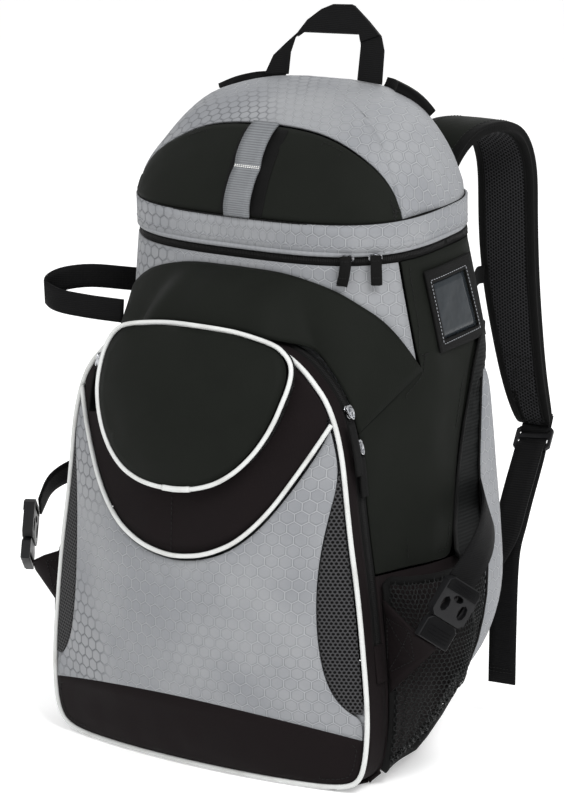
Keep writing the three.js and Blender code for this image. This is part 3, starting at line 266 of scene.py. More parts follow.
def knit(name, thread, hole, width, turn=0.0):
    """Spacer mesh: threads round small dark holes."""
    look = Look(name, thread, 0.75, Specular_IOR_Level=0.1, Sheen_Weight=0.01, Sheen_Roughness=0.5)
    edge = look.hexagons(width, turn)
    solid = look.between(edge, 0.26, 0.38)
    fibre = look.noise(900, 2)
    worn = look.noise(30, 3)
    lit = look.colours(fibre, tuple(0.7 * c for c in thread), tuple(1.25 * c for c in thread))
    lit = look.colours(look.math("MULTIPLY", worn, 0.4), lit, thread)
    return look.use(
        Base_Color=look.colours(solid, hole, lit),
        Roughness=look.between(solid, 0, 1, 0.9, 0.65),
        Normal=look.bump(solid, 0.0009, 0.9),
    )


def vinyl_cord(name):
    """Off-white piping, soiled in places."""
    coat = {"Coat_Weight": 0.12, "Coat_Roughness": 0.35}
    look = Look(name, (0.62, 0.63, 0.62), 0.42, Specular_IOR_Level=0.3, **coat)
    soil = look.noise(45, 5)
    tone = look.colours(look.between(soil, 0.45, 0.8), (0.58, 0.59, 0.58), (0.46, 0.46, 0.445))
    grain = look.noise(700, 2)
    return look.use(Base_Color=tone, Normal=look.bump(grain, 0.00012, 0.5))


def moulded(name):
    look = Look(name, (0.006, 0.006, 0.0065), 0.42, Specular_IOR_Level=0.2)
    grain = look.noise(1400, 3)
    worn = look.noise(60, 4)
    tone = look.colours(worn, (0.0045, 0.0045, 0.005), (0.011, 0.011, 0.012))
    rough = look.between(worn, 0.3, 0.7, 0.32, 0.48)
    return look.use(Base_Color=tone, Roughness=rough, Normal=look.bump(grain, 0.00008, 0.4))


def shaded_grip(name):
    """The ribbed ends of a buckle, which shine less than its middle and are coloured darker, as painted
    shade on their down-tilted slopes.
    """
    look = Look(name, (0.003, 0.003, 0.0033), 0.55, Specular_IOR_Level=0.07)
    grain = look.noise(1400, 3)
    tone = look.colours(look.noise(60, 4), (0.002, 0.002, 0.0022), (0.0045, 0.0045, 0.005))
    return look.use(Base_Color=tone, Normal=look.bump(grain, 0.00008, 0.4))


def plated(name):
    look = Look(name, (0.5, 0.51, 0.53), 0.25, Metallic=1.0)
    rub = look.noise(300, 5)
    tone = look.colours(rub, (0.36, 0.37, 0.39), (0.62, 0.63, 0.65))
    rough = look.between(rub, 0.3, 0.7, 0.16, 0.36)
    return look.use(Base_Color=tone, Roughness=rough, Normal=look.bump(rub, 0.00005, 0.4))


def vinyl(name):
    look = Look(name, (0.016, 0.02, 0.024), 0.22, Specular_IOR_Level=0.2)
    ripple = look.noise(55, 2)
    tone = look.colours(ripple, (0.008, 0.0105, 0.0125), (0.026, 0.032, 0.038))
    return look.use(Base_Color=tone, Normal=look.bump(ripple, 0.0012, 0.7))


def thread(name, colour):
    look = Look(name, colour, 0.6, Specular_IOR_Level=0.15, Sheen_Weight=0.02)
    ply = look.noise(2500, 1)
    tone = look.colours(ply, tuple(0.75 * c for c in colour), tuple(1.2 * c for c in colour))
    return look.use(Base_Color=tone)


def pale_floor():
    look = Look("floor", (0.9, 0.9, 0.9), 0.8, Emission_Color=(1, 1, 1, 1), Emission_Strength=0.35)
    tone = look.colours(look.noise(3, 2), (0.9, 0.9, 0.9), (0.92, 0.92, 0.92))
    return look.use(Base_Color=tone)


# Looks: how each is made, and the values it is made with.
RECIPES = {
    "grey_ripstop": (ripstop,),
    "black_cloth": (plain_cloth, (0.0045, 0.0052, 0.0042), (0.0105, 0.0118, 0.0098), 0.6, 0.8, 0.008),
    "brown_black_cloth": (plain_cloth, (0.0042, 0.0030, 0.0032), (0.0105, 0.0078, 0.0083), 0.7, 1.1, 0.008),
    "grey_trim": (plain_cloth, (0.16, 0.165, 0.176), (0.27, 0.278, 0.29), 0.6, 0.9, 0.02, 0.2),
    "webbing": (webbing, (0.0022, 0.0022, 0.0022), (0.0085, 0.0085, 0.009)),
    "grey_webbing": (webbing, (0.075, 0.078, 0.083), (0.24, 0.25, 0.262), 1.8),
    "binding": (webbing, (0.003, 0.003, 0.003), (0.0085, 0.0085, 0.0085), 0.9, 0.6),
    "mesh": (knit, (0.046, 0.046, 0.048), (0.002, 0.002, 0.002), 3.3),
    "strap_mesh": (knit, (0.030, 0.030, 0.032), (0.003, 0.003, 0.003), 3.0, 0.5),
    "net": (plain_cloth, (0.004, 0.0045, 0.0045), (0.012, 0.013, 0.013), 0.55, 0.8, 0.01, 0.15),
    "net_strip": (webbing, (0.0022, 0.0024, 0.0024), (0.014, 0.015, 0.015), 3.0, 0.6),
    "piping": (vinyl_cord,),
    "black_plastic": (moulded,),
    "plastic_grip": (shaded_grip,),
    "zip_metal": (plated,),
    "clear_vinyl": (vinyl,),
    "zip_coil": (thread, (0.012, 0.012, 0.012)),
    "black_thread": (thread, (0.008, 0.008, 0.008)),
    "grey_thread": (thread, (0.30, 0.31, 0.33)),
    "white_thread": (thread, (0.8, 0.8, 0.78)),
}
LOOKS = {name: make(name, *values) for name, (make, *values) in RECIPES.items()}


# Meshes.
DOME_MIDDLE = Vector((0, 0.04, 0.43))
DOME_RADIUS = 0.125
RING_RADIUS = 0.13


def dome_weave(p):
    """Even coordinates over the dome: the angle from its top, laid out flat."""
    level = math.hypot(p.x, p.y)
    reach = DOME_RADIUS * math.atan2(level, max(p.z, 1e-4)) / max(level, 1e-6)
    return p.x * reach, p.y * reach


WEAVES = {
    "front": lambda p: (p.x, p.z),
    "side": lambda p: (p.y, p.z),
    "flat": lambda p: (p.x, p.y),
    "ring": lambda p: (RING_RADIUS * math.atan2(p.y - LID_MIDDLE.y, p.x), p.z),
    "dome": lambda p: dome_weave(p - DOME_MIDDLE),
}


def set_weave(mesh, flat):
    """Gives the mesh the weave coordinates of its points, in millimetres."""
    corners = np.empty(len(mesh.loops), int)
    mesh.loops.foreach_get("vertex_index", corners)
    spread = (np.array(flat, float) + UV_SHIFT)[corners].astype(np.float32)
    mesh.uv_layers.new(name="weave").uv.foreach_set("vector", spread.ravel())


def lay_weave(mesh, kind):
    at = WEAVES[kind]
    set_weave(mesh, np.array([at(v.co) for v in mesh.vertices]) / MM)


def piece(name, mesh, looks, nodes=()):
    """Puts a finished mesh in the scene as a piece of the bag."""
    made = bpy.data.objects.new(name, mesh)
    scene.collection.objects.link(made)
    for look in [looks] if isinstance(looks, str) else looks:
        mesh.materials.append(LOOKS[look])
    mesh.polygons.foreach_set("use_smooth", [True] * len(mesh.polygons))
    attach(made, "root")
    if nodes:
        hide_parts(*nodes)
    return made


def mesh_of(bm):
    mesh = bpy.data.meshes.new("mesh")
    bm.normal_update()
    bm.to_mesh(mesh)
    bm.free()
    return mesh


def solid(node):
    """The node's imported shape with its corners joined."""
    bm = bmesh.new()
    bm.from_mesh(NODES[node].data)
    bmesh.ops.remove_doubles(bm, verts=bm.verts, dist=JOIN_WITHIN)
    bm.normal_update()
    return bm


def places_of(mesh):
    flat = np.empty(len(mesh.vertices) * 3)
    mesh.vertices.foreach_get("co", flat)
    return flat.reshape(-1, 3)


def subdivided(mesh, levels):
    work = bpy.data.objects.new("work", mesh)
    scene.collection.objects.link(work)
    smooth = work.modifiers.new("smooth", "SUBSURF")
    smooth.levels = levels
    shown = bpy.context.evaluated_depsgraph_get()
    made = bpy.data.meshes.new_from_object(work.evaluated_get(shown))
    bpy.data.objects.remove(work)
    return made


def point_tree(places):
    """A search tree over points."""
    tree = KDTree(max(len(places), 1))
    for k, place in enumerate(places):
        tree.insert(place, k)
    tree.balance()
    return tree


def softened(node, levels=2, relax=True):
    """The node's walls as smooth cloth through its own corners, with its cut edges kept crisp."""
    bm = solid(node)
    bmesh.ops.join_triangles(bm, faces=bm.faces[:], angle_face_threshold=0.8, angle_shape_threshold=3.0)
    crease = bm.edges.layers.float.new("crease_edge")
    for edge in bm.edges:
        if edge.calc_face_angle(0) > SHARP:
            edge[crease] = 1.0
    control = mesh_of(bm)
    corners = places_of(control)
    held = corners.copy()
    for _ in range(SHRINK_PASSES):
        made = subdivided(control, levels)
        held += SHRINK_SHARE * (corners - places_of(made)[: len(corners)])
        control.vertices.foreach_set("co", held.ravel())
        bpy.data.meshes.remove(made)
    made = subdivided(control, levels)
    bpy.data.meshes.remove(control)
    bm = bmesh.new()
    bm.from_mesh(made)
    bpy.data.meshes.remove(made)
    bm.normal_update()
    rims = {v for e in bm.edges if e.calc_face_angle(0) > SHARP for v in e.verts}
    floor = corners[:, 2].min()
    for v in bm.verts:
        v.co.z = max(v.co.z, floor)
    if relax:
        inner = [v for v in bm.verts if v not in rims]
        axes = {f"use_axis_{axis}": True for axis in "xyz"}
        bmesh.ops.smooth_vert(bm, verts=inner, factor=0.5, **axes)
    bm.normal_update()
    return bm, rims


def shift(bm, moves):
    for v, move in zip(bm.verts, moves):
        v.co += move


def step(value, low, high):
    t = min(max((value - low) / (high - low), 0.0), 1.0)
    return t * t * (3 - 2 * t)


def ruffle(bm, rims, middle, amount, size, stretch):
    """Moves a wall in and out as one sheet, by soft folds that die out at its edges."""
    near = point_tree([v.co for v in rims])
    moves = []
    for v in bm.verts:
        outward = v.normal if v.normal.dot(v.co - middle) >= 0 else -v.normal
        away = near.find(v.co)[2] if rims else 1.0
        p = Vector(c * s for c, s in zip(v.co, stretch)) / (size * MM)
        fold = noise.noise(p) + FINE_SHARE * noise.noise(p * FINE_SCALE + FINE_SHIFT)
        moves.append(outward * amount * fold * step(away, 0, FOLD_REACH * MM) * MM)
    shift(bm, moves)


def cloth(node, look, weave, folds=None):
    """A cloth piece in place of its node; folds are their middle, depth, size and stretch."""
    bm, rims = softened(node)
    if folds:
        ruffle(bm, rims, *folds)
    mesh = mesh_of(bm)
    lay_weave(mesh, weave)
    return piece(node + "_cloth", mesh, look, [node])


def hard(node, look, width=0.7):
    """A moulded or cast piece: the node with its edges rounded."""
    bm = solid(node)
    bmesh.ops.dissolve_limit(bm, angle_limit=FLAT_WITHIN, verts=bm.verts[:], edges=bm.edges[:])
    edges = [e for e in bm.edges if e.calc_face_angle(0) > ROUND_OVER]
    rounding = {"segments": 3, "profile": 0.6, "affect": "EDGES", "clamp_overlap": True}
    bmesh.ops.bevel(bm, geom=edges, offset=width * MM, **rounding)
    mesh = mesh_of(bm)
    made = piece(node + "_moulded", mesh, look, [node])
    mesh.set_sharp_from_angle(angle=MOULD_SHARP)
    return made


def tree_of(*objects):
    """A search tree over finished pieces."""
    places, faces = [], []
    for obj in objects:
        start = len(places)
        places += [v.co for v in obj.data.vertices]
        faces += [[start + k for k in p.vertices] for p in obj.data.polygons]
    return BVHTree.FromPolygons(places, faces)


# A flat band's section, as shares of its width and thickness.
BAND = [
    (-0.5, -0.2), (-0.46, -0.5), (0.46, -0.5), (0.5, -0.2),
    (0.5, 0.2), (0.46, 0.5), (-0.46, 0.5), (-0.5, 0.2),
]
# A short bar's rings, as shares of its half length and thickness.
BAR = ((-1, 0.45), (-0.6, 1), (0.6, 1), (1, 0.45))
# A plate's rings, as shares of its thickness and insets in mm.
PLATE = ((-0.5, 0.35), (-0.25, 0), (0.25, 0), (0.5, 0.35))


def shares(count):
    """Shares from 0 to 1 in equal steps."""
    return [k / count for k in range(count + 1)]


def circle(sides):
    return [(math.cos(t), math.sin(t)) for t in (math.tau * k / sides for k in range(sides))]


class Stuff:
    """Collects small shapes into one mesh, with the coordinates of their weave."""

    def __init__(self):
        self.places, self.faces, self.weave = [], [], []

    def rings(self, rings, weave=None, closed=False, caps=True):
        """Skins a row of equal rings of points."""
        start, size = len(self.places), len(rings[0])
        for k, ring in enumerate(rings):
            self.places += ring
            self.weave += weave[k] if weave else [(i, k) for i in range(size)]
        for k in range(len(rings) - (not closed)):
            a, b = start + k * size, start + (k + 1) % len(rings) * size
            for i in range(size):
                j = (i + 1) % size
                self.faces.append((a + i, a + j, b + j, b + i))
        if caps and not closed:
            self.faces.append(tuple(range(start + size - 1, start - 1, -1)))
            self.faces.append(tuple(range(len(self.places) - size, len(self.places))))

    def band(self, frames, width, thick, closed=False):
        """A flat band through frames of (place, across, out)."""
        rings, weave, walked = [], [], 0.0
        for k, (place, across, out) in enumerate(frames):
            if k:
                walked += (place - frames[k - 1][0]).length / MM
            rings.append([place + across * (a * width * MM) + out * (o * thick * MM) for a, o in BAND])
            weave.append([(a * width, walked) for a, _ in BAND])
        self.rings(rings, weave, closed)

    def tube(self, frames, radius, closed=False, sides=8, caps=True):
        rings = [
            [place + (across * a + out * o) * radius * MM for a, o in circle(sides)]
            for place, across, out in frames
        ]
        self.rings(rings, None, closed, caps)

    def bar(self, place, along, side, out, sides=6):
        """A short bar with pinched ends."""
        rings = [
            [place + along * share + (side * a + out * o) * size for a, o in circle(sides)]
            for share, size in BAR
        ]
        self.rings(rings)

    def plate(self, outline, thick, origin, across, up, out):
        """A flat plate from its outline (across, up) in millimetres, with softened edges."""
        rings = []
        middle = np.mean(outline, 0)
        for level, inset in PLATE:
            ring = []
            for corner in outline:
                share = 1 - inset / math.dist(corner, middle)
                a, u = (m + (c - m) * share for c, m in zip(corner, middle))
                ring.append(origin + (across * a + up * u + out * (level * thick)) * MM)
            rings.append(ring)
        self.rings(rings, [list(outline)] * len(PLATE))

    def sheet(self, rows, out, thick):
        """A thin wall over rows of places."""
        start, wide, count = len(self.places), len(rows[0]), len(rows) * len(rows[0])
        for lift in (0.0, -thick * MM):
            for row in rows:
                self.places += [p + out * lift for p in row]
                self.weave += [(p.y / MM, p.z / MM) for p in row]
        for j in range(len(rows) - 1):
            for i in range(wide - 1):
                a = start + j * wide + i
                b = a + count
                self.faces.append((a, a + 1, a + wide + 1, a + wide))
                self.faces.append((b, b + wide, b + wide + 1, b + 1))
        ring = list(range(wide)) + [j * wide + wide - 1 for j in range(1, len(rows))]
        ring += [count - 1 - i for i in range(1, wide)] + [j * wide for j in range(len(rows) - 2, 0, -1)]
        for a, b in zip(ring, ring[1:] + ring[:1]):
            self.faces.append((start + a, start + a + count, start + b + count, start + b))

    def mesh(self):
        mesh = bpy.data.meshes.new("mesh")
        mesh.from_pydata(self.places, [], self.faces)
        bm = bmesh.new()
        bm.from_mesh(mesh)
        bmesh.ops.recalc_face_normals(bm, faces=bm.faces[:])
        bm.to_mesh(mesh)
        bm.free()
        set_weave(mesh, self.weave)
        return mesh

    def piece(self, name, look, slot=None, nodes=(), sharp=None):
        mesh = self.mesh()
        made = piece(name, mesh, look, nodes)
        if sharp:
            mesh.set_sharp_from_angle(angle=sharp)
        return made


# Runs: lists of (place, normal) along a surface.
def lie(run, lift=0.0, closed=False):
    """Frames of (place, across, out) along a run."""
    frames, count = [], len(run)
    for k, (place, out) in enumerate(run):
        before = run[(k - 1) % count if closed else max(k - 1, 0)][0]
        after = run[(k + 1) % count if closed else min(k + 1, count - 1)][0]
        across = (after - before).cross(out).normalized()
        frames.append((place + out * lift * MM, across, across.cross(after - before).normalized()))
    return frames


def bars(stuff, run, length, gap, thick, lift, cross=False):
    """Stitches along a run, or zip teeth across it."""
    walked = np.cumsum([0.0] + [(b[0] - a[0]).length / MM for a, b in zip(run, run[1:])])
    pitch = gap if cross else length + gap
    k = 0
    for at in np.arange(0.5 * pitch, walked[-1] - 0.3 * pitch, pitch):
        while k < len(run) - 2 and walked[k + 1] < at:
            k += 1
        (here, up), (there, later) = run[k], run[k + 1]
        share = (at - walked[k]) / max(walked[k + 1] - walked[k], 1e-6)
        along = (there - here).normalized()
        out = up.lerp(later, share).normalized()
        side = along.cross(out).normalized()
        place = here.lerp(there, share) + out * lift * MM
        long_way, short_way = (side, along) if cross else (along, side)
        stuff.bar(place, long_way * length * MM / 2, short_way * thick * MM, out * thick * MM)


def cast(tree, place, toward, away=RAY_START):
    """The first hit of a ray toward a place from away off, as (place, normal toward the ray's start)."""
    hit, normal, _, _ = tree.ray_cast(place - toward * away, toward)
    if hit is None:
        return None
    return hit, normal if normal.dot(toward) < 0 else -normal


def seen(tree, points, toward):
    """A run on the surface under points, in millimetres, looking along a direction."""
    hits = [cast(tree, Vector(p) * MM, toward) for p in points]
    return [h for h in hits if h]


def polyline(corners, pitch=3.0):
    """Evenly spaced points along straight lines between corners."""
    made = [corners[0]]
    for a, b in zip(corners, corners[1:]):
        count = max(1, round(math.dist(a, b) / pitch))
        made += [tuple(p + (q - p) * k / count for p, q in zip(a, b)) for k in range(1, count + 1)]
    return made


# Rows of stitches: length, gap and half thickness in mm, and the height of their middle over the cloth.
STITCHES = {
    "arch": (2.6, 1.5, 0.35, 0.25),
    "band": (2.6, 1.5, 0.33, 0.25),
    "panel": (2.8, 1.5, 0.36, 0.25),
    "yoke": (2.8, 1.4, 0.36, 0.25),
    "wing": (2.4, 1.2, 0.4, 0.2),
    "tail": (2.2, 1.0, 0.36, 0.2),
    "tack": (1.5, 0.6, 0.4, 0.2),
    "window": (2.0, 1.2, 0.3, 0.15),
    "pull": (1.6, 0.5, 0.28, 0.05),
    "strap": (2.6, 1.4, 0.32, 0.15),
    "strap_box": (2.4, 1.2, 0.38, 0.2),
    "back": (2.8, 1.4, 0.4, 0.2),
}


def sew(stuff, kind, run):
    bars(stuff, run, *STITCHES[kind])


def sew_line(stuff, kind, tree, corners, toward, pitch=3.0):
    """Stitches on a surface, along the straight lines between corners in millimetres."""
    sew(stuff, kind, seen(tree, polyline(corners, pitch), toward))


def boxed(corners):
    """The lines of a sewn box with its diagonals."""
    return corners + corners[:1], corners[0::2], corners[1::2]


def mirrored(sign, *points):
    """Points of the right side as they are, or on the left side."""
    return [Vector((sign * x, y, z)) for x, y, z in points]


def through(points, closed, parts=6):
    """A smooth line through points."""
    count = len(points)
    made = []
    for k in range(count if closed else count - 1):
        at = [(k + j) % count if closed else min(max(k + j, 0), count - 1) for j in (-1, 0, 1, 2)]
        p0, p1, p2, p3 = (points[j] for j in at)
        for t in (j / parts for j in range(parts)):
            bend = 2 * p0 - 5 * p1 + 4 * p2 - p3 + t * (3 * (p1 - p2) + p3 - p0)
            made.append(p1 + 0.5 * t * (p2 - p0 + t * bend))
    return made if closed else made + [points[-1]]


def corners_of(node):
    return np.array([v.co for v in NODES[node].data.vertices])


def near_angle(turns, angle, reach):
    """Which of some angles lie within reach of an angle, in degrees."""
    return np.abs((turns - angle + 180) % 360 - 180) < reach


def ring_run(node, tree, share, count=240):
    """A level line round the lid, at a share of the node's height."""
    co = corners_of(node)
    turns = np.degrees(np.arctan2(co[:, 1] - LID_MIDDLE.y, co[:, 0]))
    run = []
    for angle in np.arange(count) * 360 / count:
        heights = co[near_angle(turns, angle, reach=9), 2]
        z = heights.min() + share * (heights.max() - heights.min())
        a = math.radians(angle)
        toward = Vector((-math.cos(a), -math.sin(a), 0))
        hit = cast(tree, Vector((0, LID_MIDDLE.y, z)), toward)
        if hit:
            run.append(hit)
    return run


def round_run(node, tree, first, last, count=200):
    """A line along the middle of a band that stands round the front pocket's axis."""
    co = corners_of(node)
    middle = (co.min(0) + co.max(0)) / 2
    turns = np.degrees(np.arctan2(co[:, 2] - middle[2], co[:, 0] - middle[0]))
    run = []
    for angle in np.linspace(first, last, count):
        depths = co[near_angle(turns, angle, reach=7), 1]
        if not len(depths):
            continue
        a = math.radians(angle)
        toward = Vector((-math.cos(a), 0, -math.sin(a)))
        centre = Vector((middle[0], (depths.min() + depths.max()) / 2, middle[2]))
        hit = cast(tree, centre, toward)
        if hit and (hit[0] - centre).dot(toward) < 0:
            run.append(hit)
    return run


RIM_THICK = 2.6  # faces narrower than this, in mm, are a wall's cut edge
SHORT_LOOP = 8  # loops with no more points than this are left out


def edge_loops(node, middle):
    """The outer edges of a node's wall, each as places in order, the lowest edge first."""
    bm = solid(node)
    thin = {f for f in bm.faces if min(e.calc_length() for e in f.edges) < RIM_THICK * MM}
    outer = {f for f in bm.faces if f not in thin and f.normal.dot(f.calc_center_median() - middle) > 0}
    links = {}
    for e in bm.edges:
        if any(f in outer for f in e.link_faces) and any(f in thin for f in e.link_faces):
            first, second = e.verts
            links.setdefault(first, []).append(second)
            links.setdefault(second, []).append(first)
    loops = []
    while links:
        here = next(iter(links))
        loop = []
        while here:
            loop.append(here.co.copy())
            ahead = links.pop(here)
            here = next((v for v in ahead if v in links), None)
        loops.append(loop)
    bm.free()
    loops = [loop for loop in loops if len(loop) > SHORT_LOOP]
    return sorted(loops, key=lambda loop: sum(p.z for p in loop) / len(loop))


def rounded(places, times=2):
    """Cuts the corners of a closed line."""
    for _ in range(times):
        ends = zip(places, places[1:] + places[:1])
        places = [p for a, b in ends for p in (a.lerp(b, 0.25), a.lerp(b, 0.75))]
    return places


def beside(places, tree, offset, inside):
    """A run on a surface beside a closed line, outside it by an offset in millimetres."""
    middle = sum(places, Vector()) / len(places)
    run = []
    for k, place in enumerate(places):
        normal = tree.find_nearest(place)[1]
        if normal.dot(place - inside) < 0:
            normal = -normal
        along = (places[(k + 1) % len(places)] - places[k - 1]).normalized()
        side = along.cross(normal).normalized()
        if side.dot(place - middle) < 0:
            side = -side
        spot = place + side * offset * MM
        hit = cast(tree, spot, -normal, NEAR_CLOTH)
        if hit:
            run.append(hit)
    return run


# Cloth panels: node, look, weave, fold depth in mm, fold size in mm, fold stretch. A star is for both sides.
PANELS = [
    ("body_front_wall", "grey_ripstop", "ring", 1.2, 60, (1, 1, 0.6)),
    ("lid_hood", "grey_ripstop", "dome", 0.6, 45, (1, 1, 1)),
    ("lid_band", "grey_ripstop", "ring", 0.7, 26, (1, 1, 0.3)),
    ("front_panel", "grey_ripstop", "front", 1.7, 60, (1, 1, 0.7)),
    ("rear_gusset_*", "grey_ripstop", "side", 1.2, 50, (1, 1, 0.5)),
    ("side_panel_*", "black_cloth", "side", 1.5, 55, (1, 1, 0.7)),
    ("front_hood", "black_cloth", "front", 1.4, 60, (1, 1, 1)),
    ("lid_visor", "black_cloth", "front", 0.9, 50, (1, 1, 1)),
    ("shield_face", "black_cloth", "front", 1.2, 60, (1, 1, 1)),
    ("front_yoke", "brown_black_cloth", "front", 0.6, 40, (1, 1, 1)),
    ("front_base_band", "brown_black_cloth", "front", 1.0, 50, (1, 1, 2)),
    ("front_gusset", "brown_black_cloth", "side", 0.3, 30, (1, 1, 1)),
    ("lower_shell", "brown_black_cloth", "side", 0.9, 50, (1, 1, 1)),
    ("base_panel", "brown_black_cloth", "flat"),
    ("mesh_crescent_*", "mesh", "front", 0.3, 40, (1, 1, 1)),
]
# Where the folds of a panel move away from, by the first word of its name.
MIDDLES = {"lid": LID_MIDDLE, "front": POCKET_MIDDLE, "mesh": POCKET_MIDDLE, "shield": POCKET_MIDDLE}
SLOT_OF = {s["node"]: s["material_slot"] for s in frame["record"]["subparts"]}

# Flat webbing, tapes and the window: node, look, weave.
RIBBONS = [
    ("side_wing_*", "brown_black_cloth", "side"),
    ("side_strap_*", "webbing", "side"),
    ("stick_loop", "webbing", "front"),
    ("lower_webbing_*", "webbing", "front"),
    ("strap_stabiliser_*", "webbing", "side"),
    ("daisy_webbing", "grey_webbing", "front"),
    ("top_zip_tape", "binding", "ring"),
    ("front_zip_tape", "binding", "side"),
    ("shield_zip_gusset", "binding", "front"),
    ("front_zip_pull_a", "binding", "side"),
    ("front_zip_pull_b", "binding", "side"),
    ("shield_zip_pull", "binding", "side"),
    ("name_window_frame", "binding", "side"),
    ("name_window", "clear_vinyl", "side"),
]


def dress_panels():
    made = {}
    for name, look, weave, *folds in PANELS + RIBBONS:
        if folds:
            folds = [MIDDLES.get(name.split("_")[0], BAG_MIDDLE)] + folds
        for node in dict.fromkeys(name.replace("*", side) for side in SIDES):
            made[node] = cloth(node, look, weave, folds)
    return made


# Piping: node, radius in mm, whether it is a ring.
CORDS = [("front_piping", 2.1, True), ("yoke_piping", 1.9, False), ("shield_piping", 1.9, True)]
CORD_SIDES = 14
CORD_RING = 6  # corners of one ring of a cord lie within this of each other, mm
CORD_END = 7  # length by which the yoke's cord runs on, to the front cord, mm
SLEEVE_X = 10  # middle of the sleeve at the shield's foot, mm from the bag's middle
SLEEVE_TOP = 300  # the sleeve is on the part of the cord below this height, mm
SLEEVE_HALF = 14  # half the sleeve's length, mm
SLEEVE_RADIUS = 2.5
TRIM_THICK = 0.8  # thickness of thin cloth trims, mm


def cord_places(node):
    """The middles of a cord's rings in order, from its left end."""
    rings = []
    for co in np.unique(np.round(corners_of(node), 6), axis=0):
        near = [ring for ring in rings if np.linalg.norm(ring[0] - co) < CORD_RING * MM]
        if near:
            near[0].append(co)
        else:
            rings.append([co])
    left = sorted((Vector(np.mean(ring, 0)) for ring in rings), key=lambda p: p.x)
    order = [left.pop(0)]
    while left:
        order.append(min(left, key=lambda p: (p - order[-1]).length))
        left.remove(order[-1])
    return order


def dress_cord(name, places, radius, closed, nodes=()):
    cord = Stuff()
    cord.tube(lie([(p, TO_FRONT) for p in places], 0, closed), radius, closed, CORD_SIDES)
    cord.piece(name, "piping", "piping", nodes)


def dress_piping():
    """Cords through the middles of their solids, and the shield's sleeve. Gives the front cord's line."""
    lines = {}
    for node, radius, closed in CORDS:
        places = cord_places(node)
        if not closed:
            for end, inner in ((0, 1), (-1, -2)):
                places[end] = places[end] + (places[end] - places[inner]).normalized() * CORD_END * MM
        lines[node] = through(places, closed)
        dress_cord(node + "_cord", lines[node], radius, closed, [node])
    low = [p for p in lines["shield_piping"] if p.z < SLEEVE_TOP * MM]
    foot = min(low, key=lambda p: abs(p.x - SLEEVE_X * MM))
    covered = sorted((p for p in low if (p - foot).length < SLEEVE_HALF * MM), key=lambda p: p.x)
    dress_cord("shield_piping_sleeve", covered, SLEEVE_RADIUS, False)
    return lines["front_piping"]


# Strips of the front panel between its cut edge and the piping, under each mesh crescent, in mm.
EDGE_STEPS = (4, 8, 12)  # places across a strip, inward from the piping
EDGE_FLANK = 100  # the strips lie further from the middle than this
EDGE_BAND = 130  # the base band's top is measured further out than this
EDGE_SINK = 1.3  # how far a strip lies behind the faces beside it
EDGE_LAPS = (3, 12)  # how far a strip runs below the band's top and above the crescent's foot


def dress_panel_edge(made, line):
    names = ("front_panel", "mesh_crescent_right", "mesh_crescent_left", "front_base_band")
    face = tree_of(*(made[name] for name in names))
    band = corners_of("front_base_band")
    strip = Stuff()
    for side, sign in SIDES.items():
        low = band[sign * band[:, 0] > EDGE_BAND * MM, 2].max() - EDGE_LAPS[0] * MM
        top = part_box(f"mesh_crescent_{side}")[0].z + EDGE_LAPS[1] * MM
        flank = [p for p in line if sign * p.x > EDGE_FLANK * MM and low < p.z < top]
        rows = []
        for place in sorted(flank, key=lambda p: p.z):
            row = [place - TO_FRONT * MM]
            for reach in EDGE_STEPS:
                spot = place - Vector((sign * reach * MM, 0, 0))
                row.append(Vector((spot.x, face.find_nearest(spot)[0].y + EDGE_SINK * MM, spot.z)))
            rows.append(row)
        strip.sheet(rows, TO_FRONT, TRIM_THICK)
    strip.piece("front_panel_edge", "grey_ripstop")


# Corners of the front pocket's gusset, carried on from the gusset's foot to the base, in mm.
FOOT_TOP = 60
FOOT_IN = 112
FOOT_DEPTHS = (2, 12, 23, 34)
FOOT_CENTRE = (90, 70)  # x and z of the point that a corner bends round
FOOT_INSET = 1.2


def dress_feet(line):
    feet = Stuff()
    for sign in SIDES.values():
        corner = [p for p in line if sign * p.x > FOOT_IN * MM and p.z < FOOT_TOP * MM]
        rows = []
        for place in sorted(corner, key=lambda p: p.z - sign * p.x):
            centre = Vector((sign * FOOT_CENTRE[0] * MM, place.y, FOOT_CENTRE[1] * MM))
            inner = place + (centre - place).normalized() * FOOT_INSET * MM
            rows.append([inner - TO_FRONT * depth * MM for depth in FOOT_DEPTHS])
        feet.sheet(rows, Vector((sign, 0, -1)).normalized(), TRIM_THICK)
    feet.piece("front_gusset_feet", "brown_black_cloth")


# Zips, in mm.
TEETH = (1.5, 0.5, 0.2)  # pitch, half thickness and lift of the teeth along the middle of each tape
LID_TEETH = 3.6  # how far the teeth reach across
POCKET_TEETH = 4.2
LID_LINING = (-4.5, 22)  # lift and width of the lining behind the lid's zip
FRONT_ZIP_TURN = (-45, 225)  # degrees round the pocket's axis between which its zip runs
SHIELD_ZIP_TURN = (-225, 45)
ZIP_ENDS = slice(3, 15)  # teeth that give the direction of each end of the front zip
ZIP_END_PLACES = np.linspace(5, 36, 9)  # along a stitched-down end of the front zip
ZIP_END_LIFT = 0.7
ZIP_END_SIZE = (13.5, 1.6)


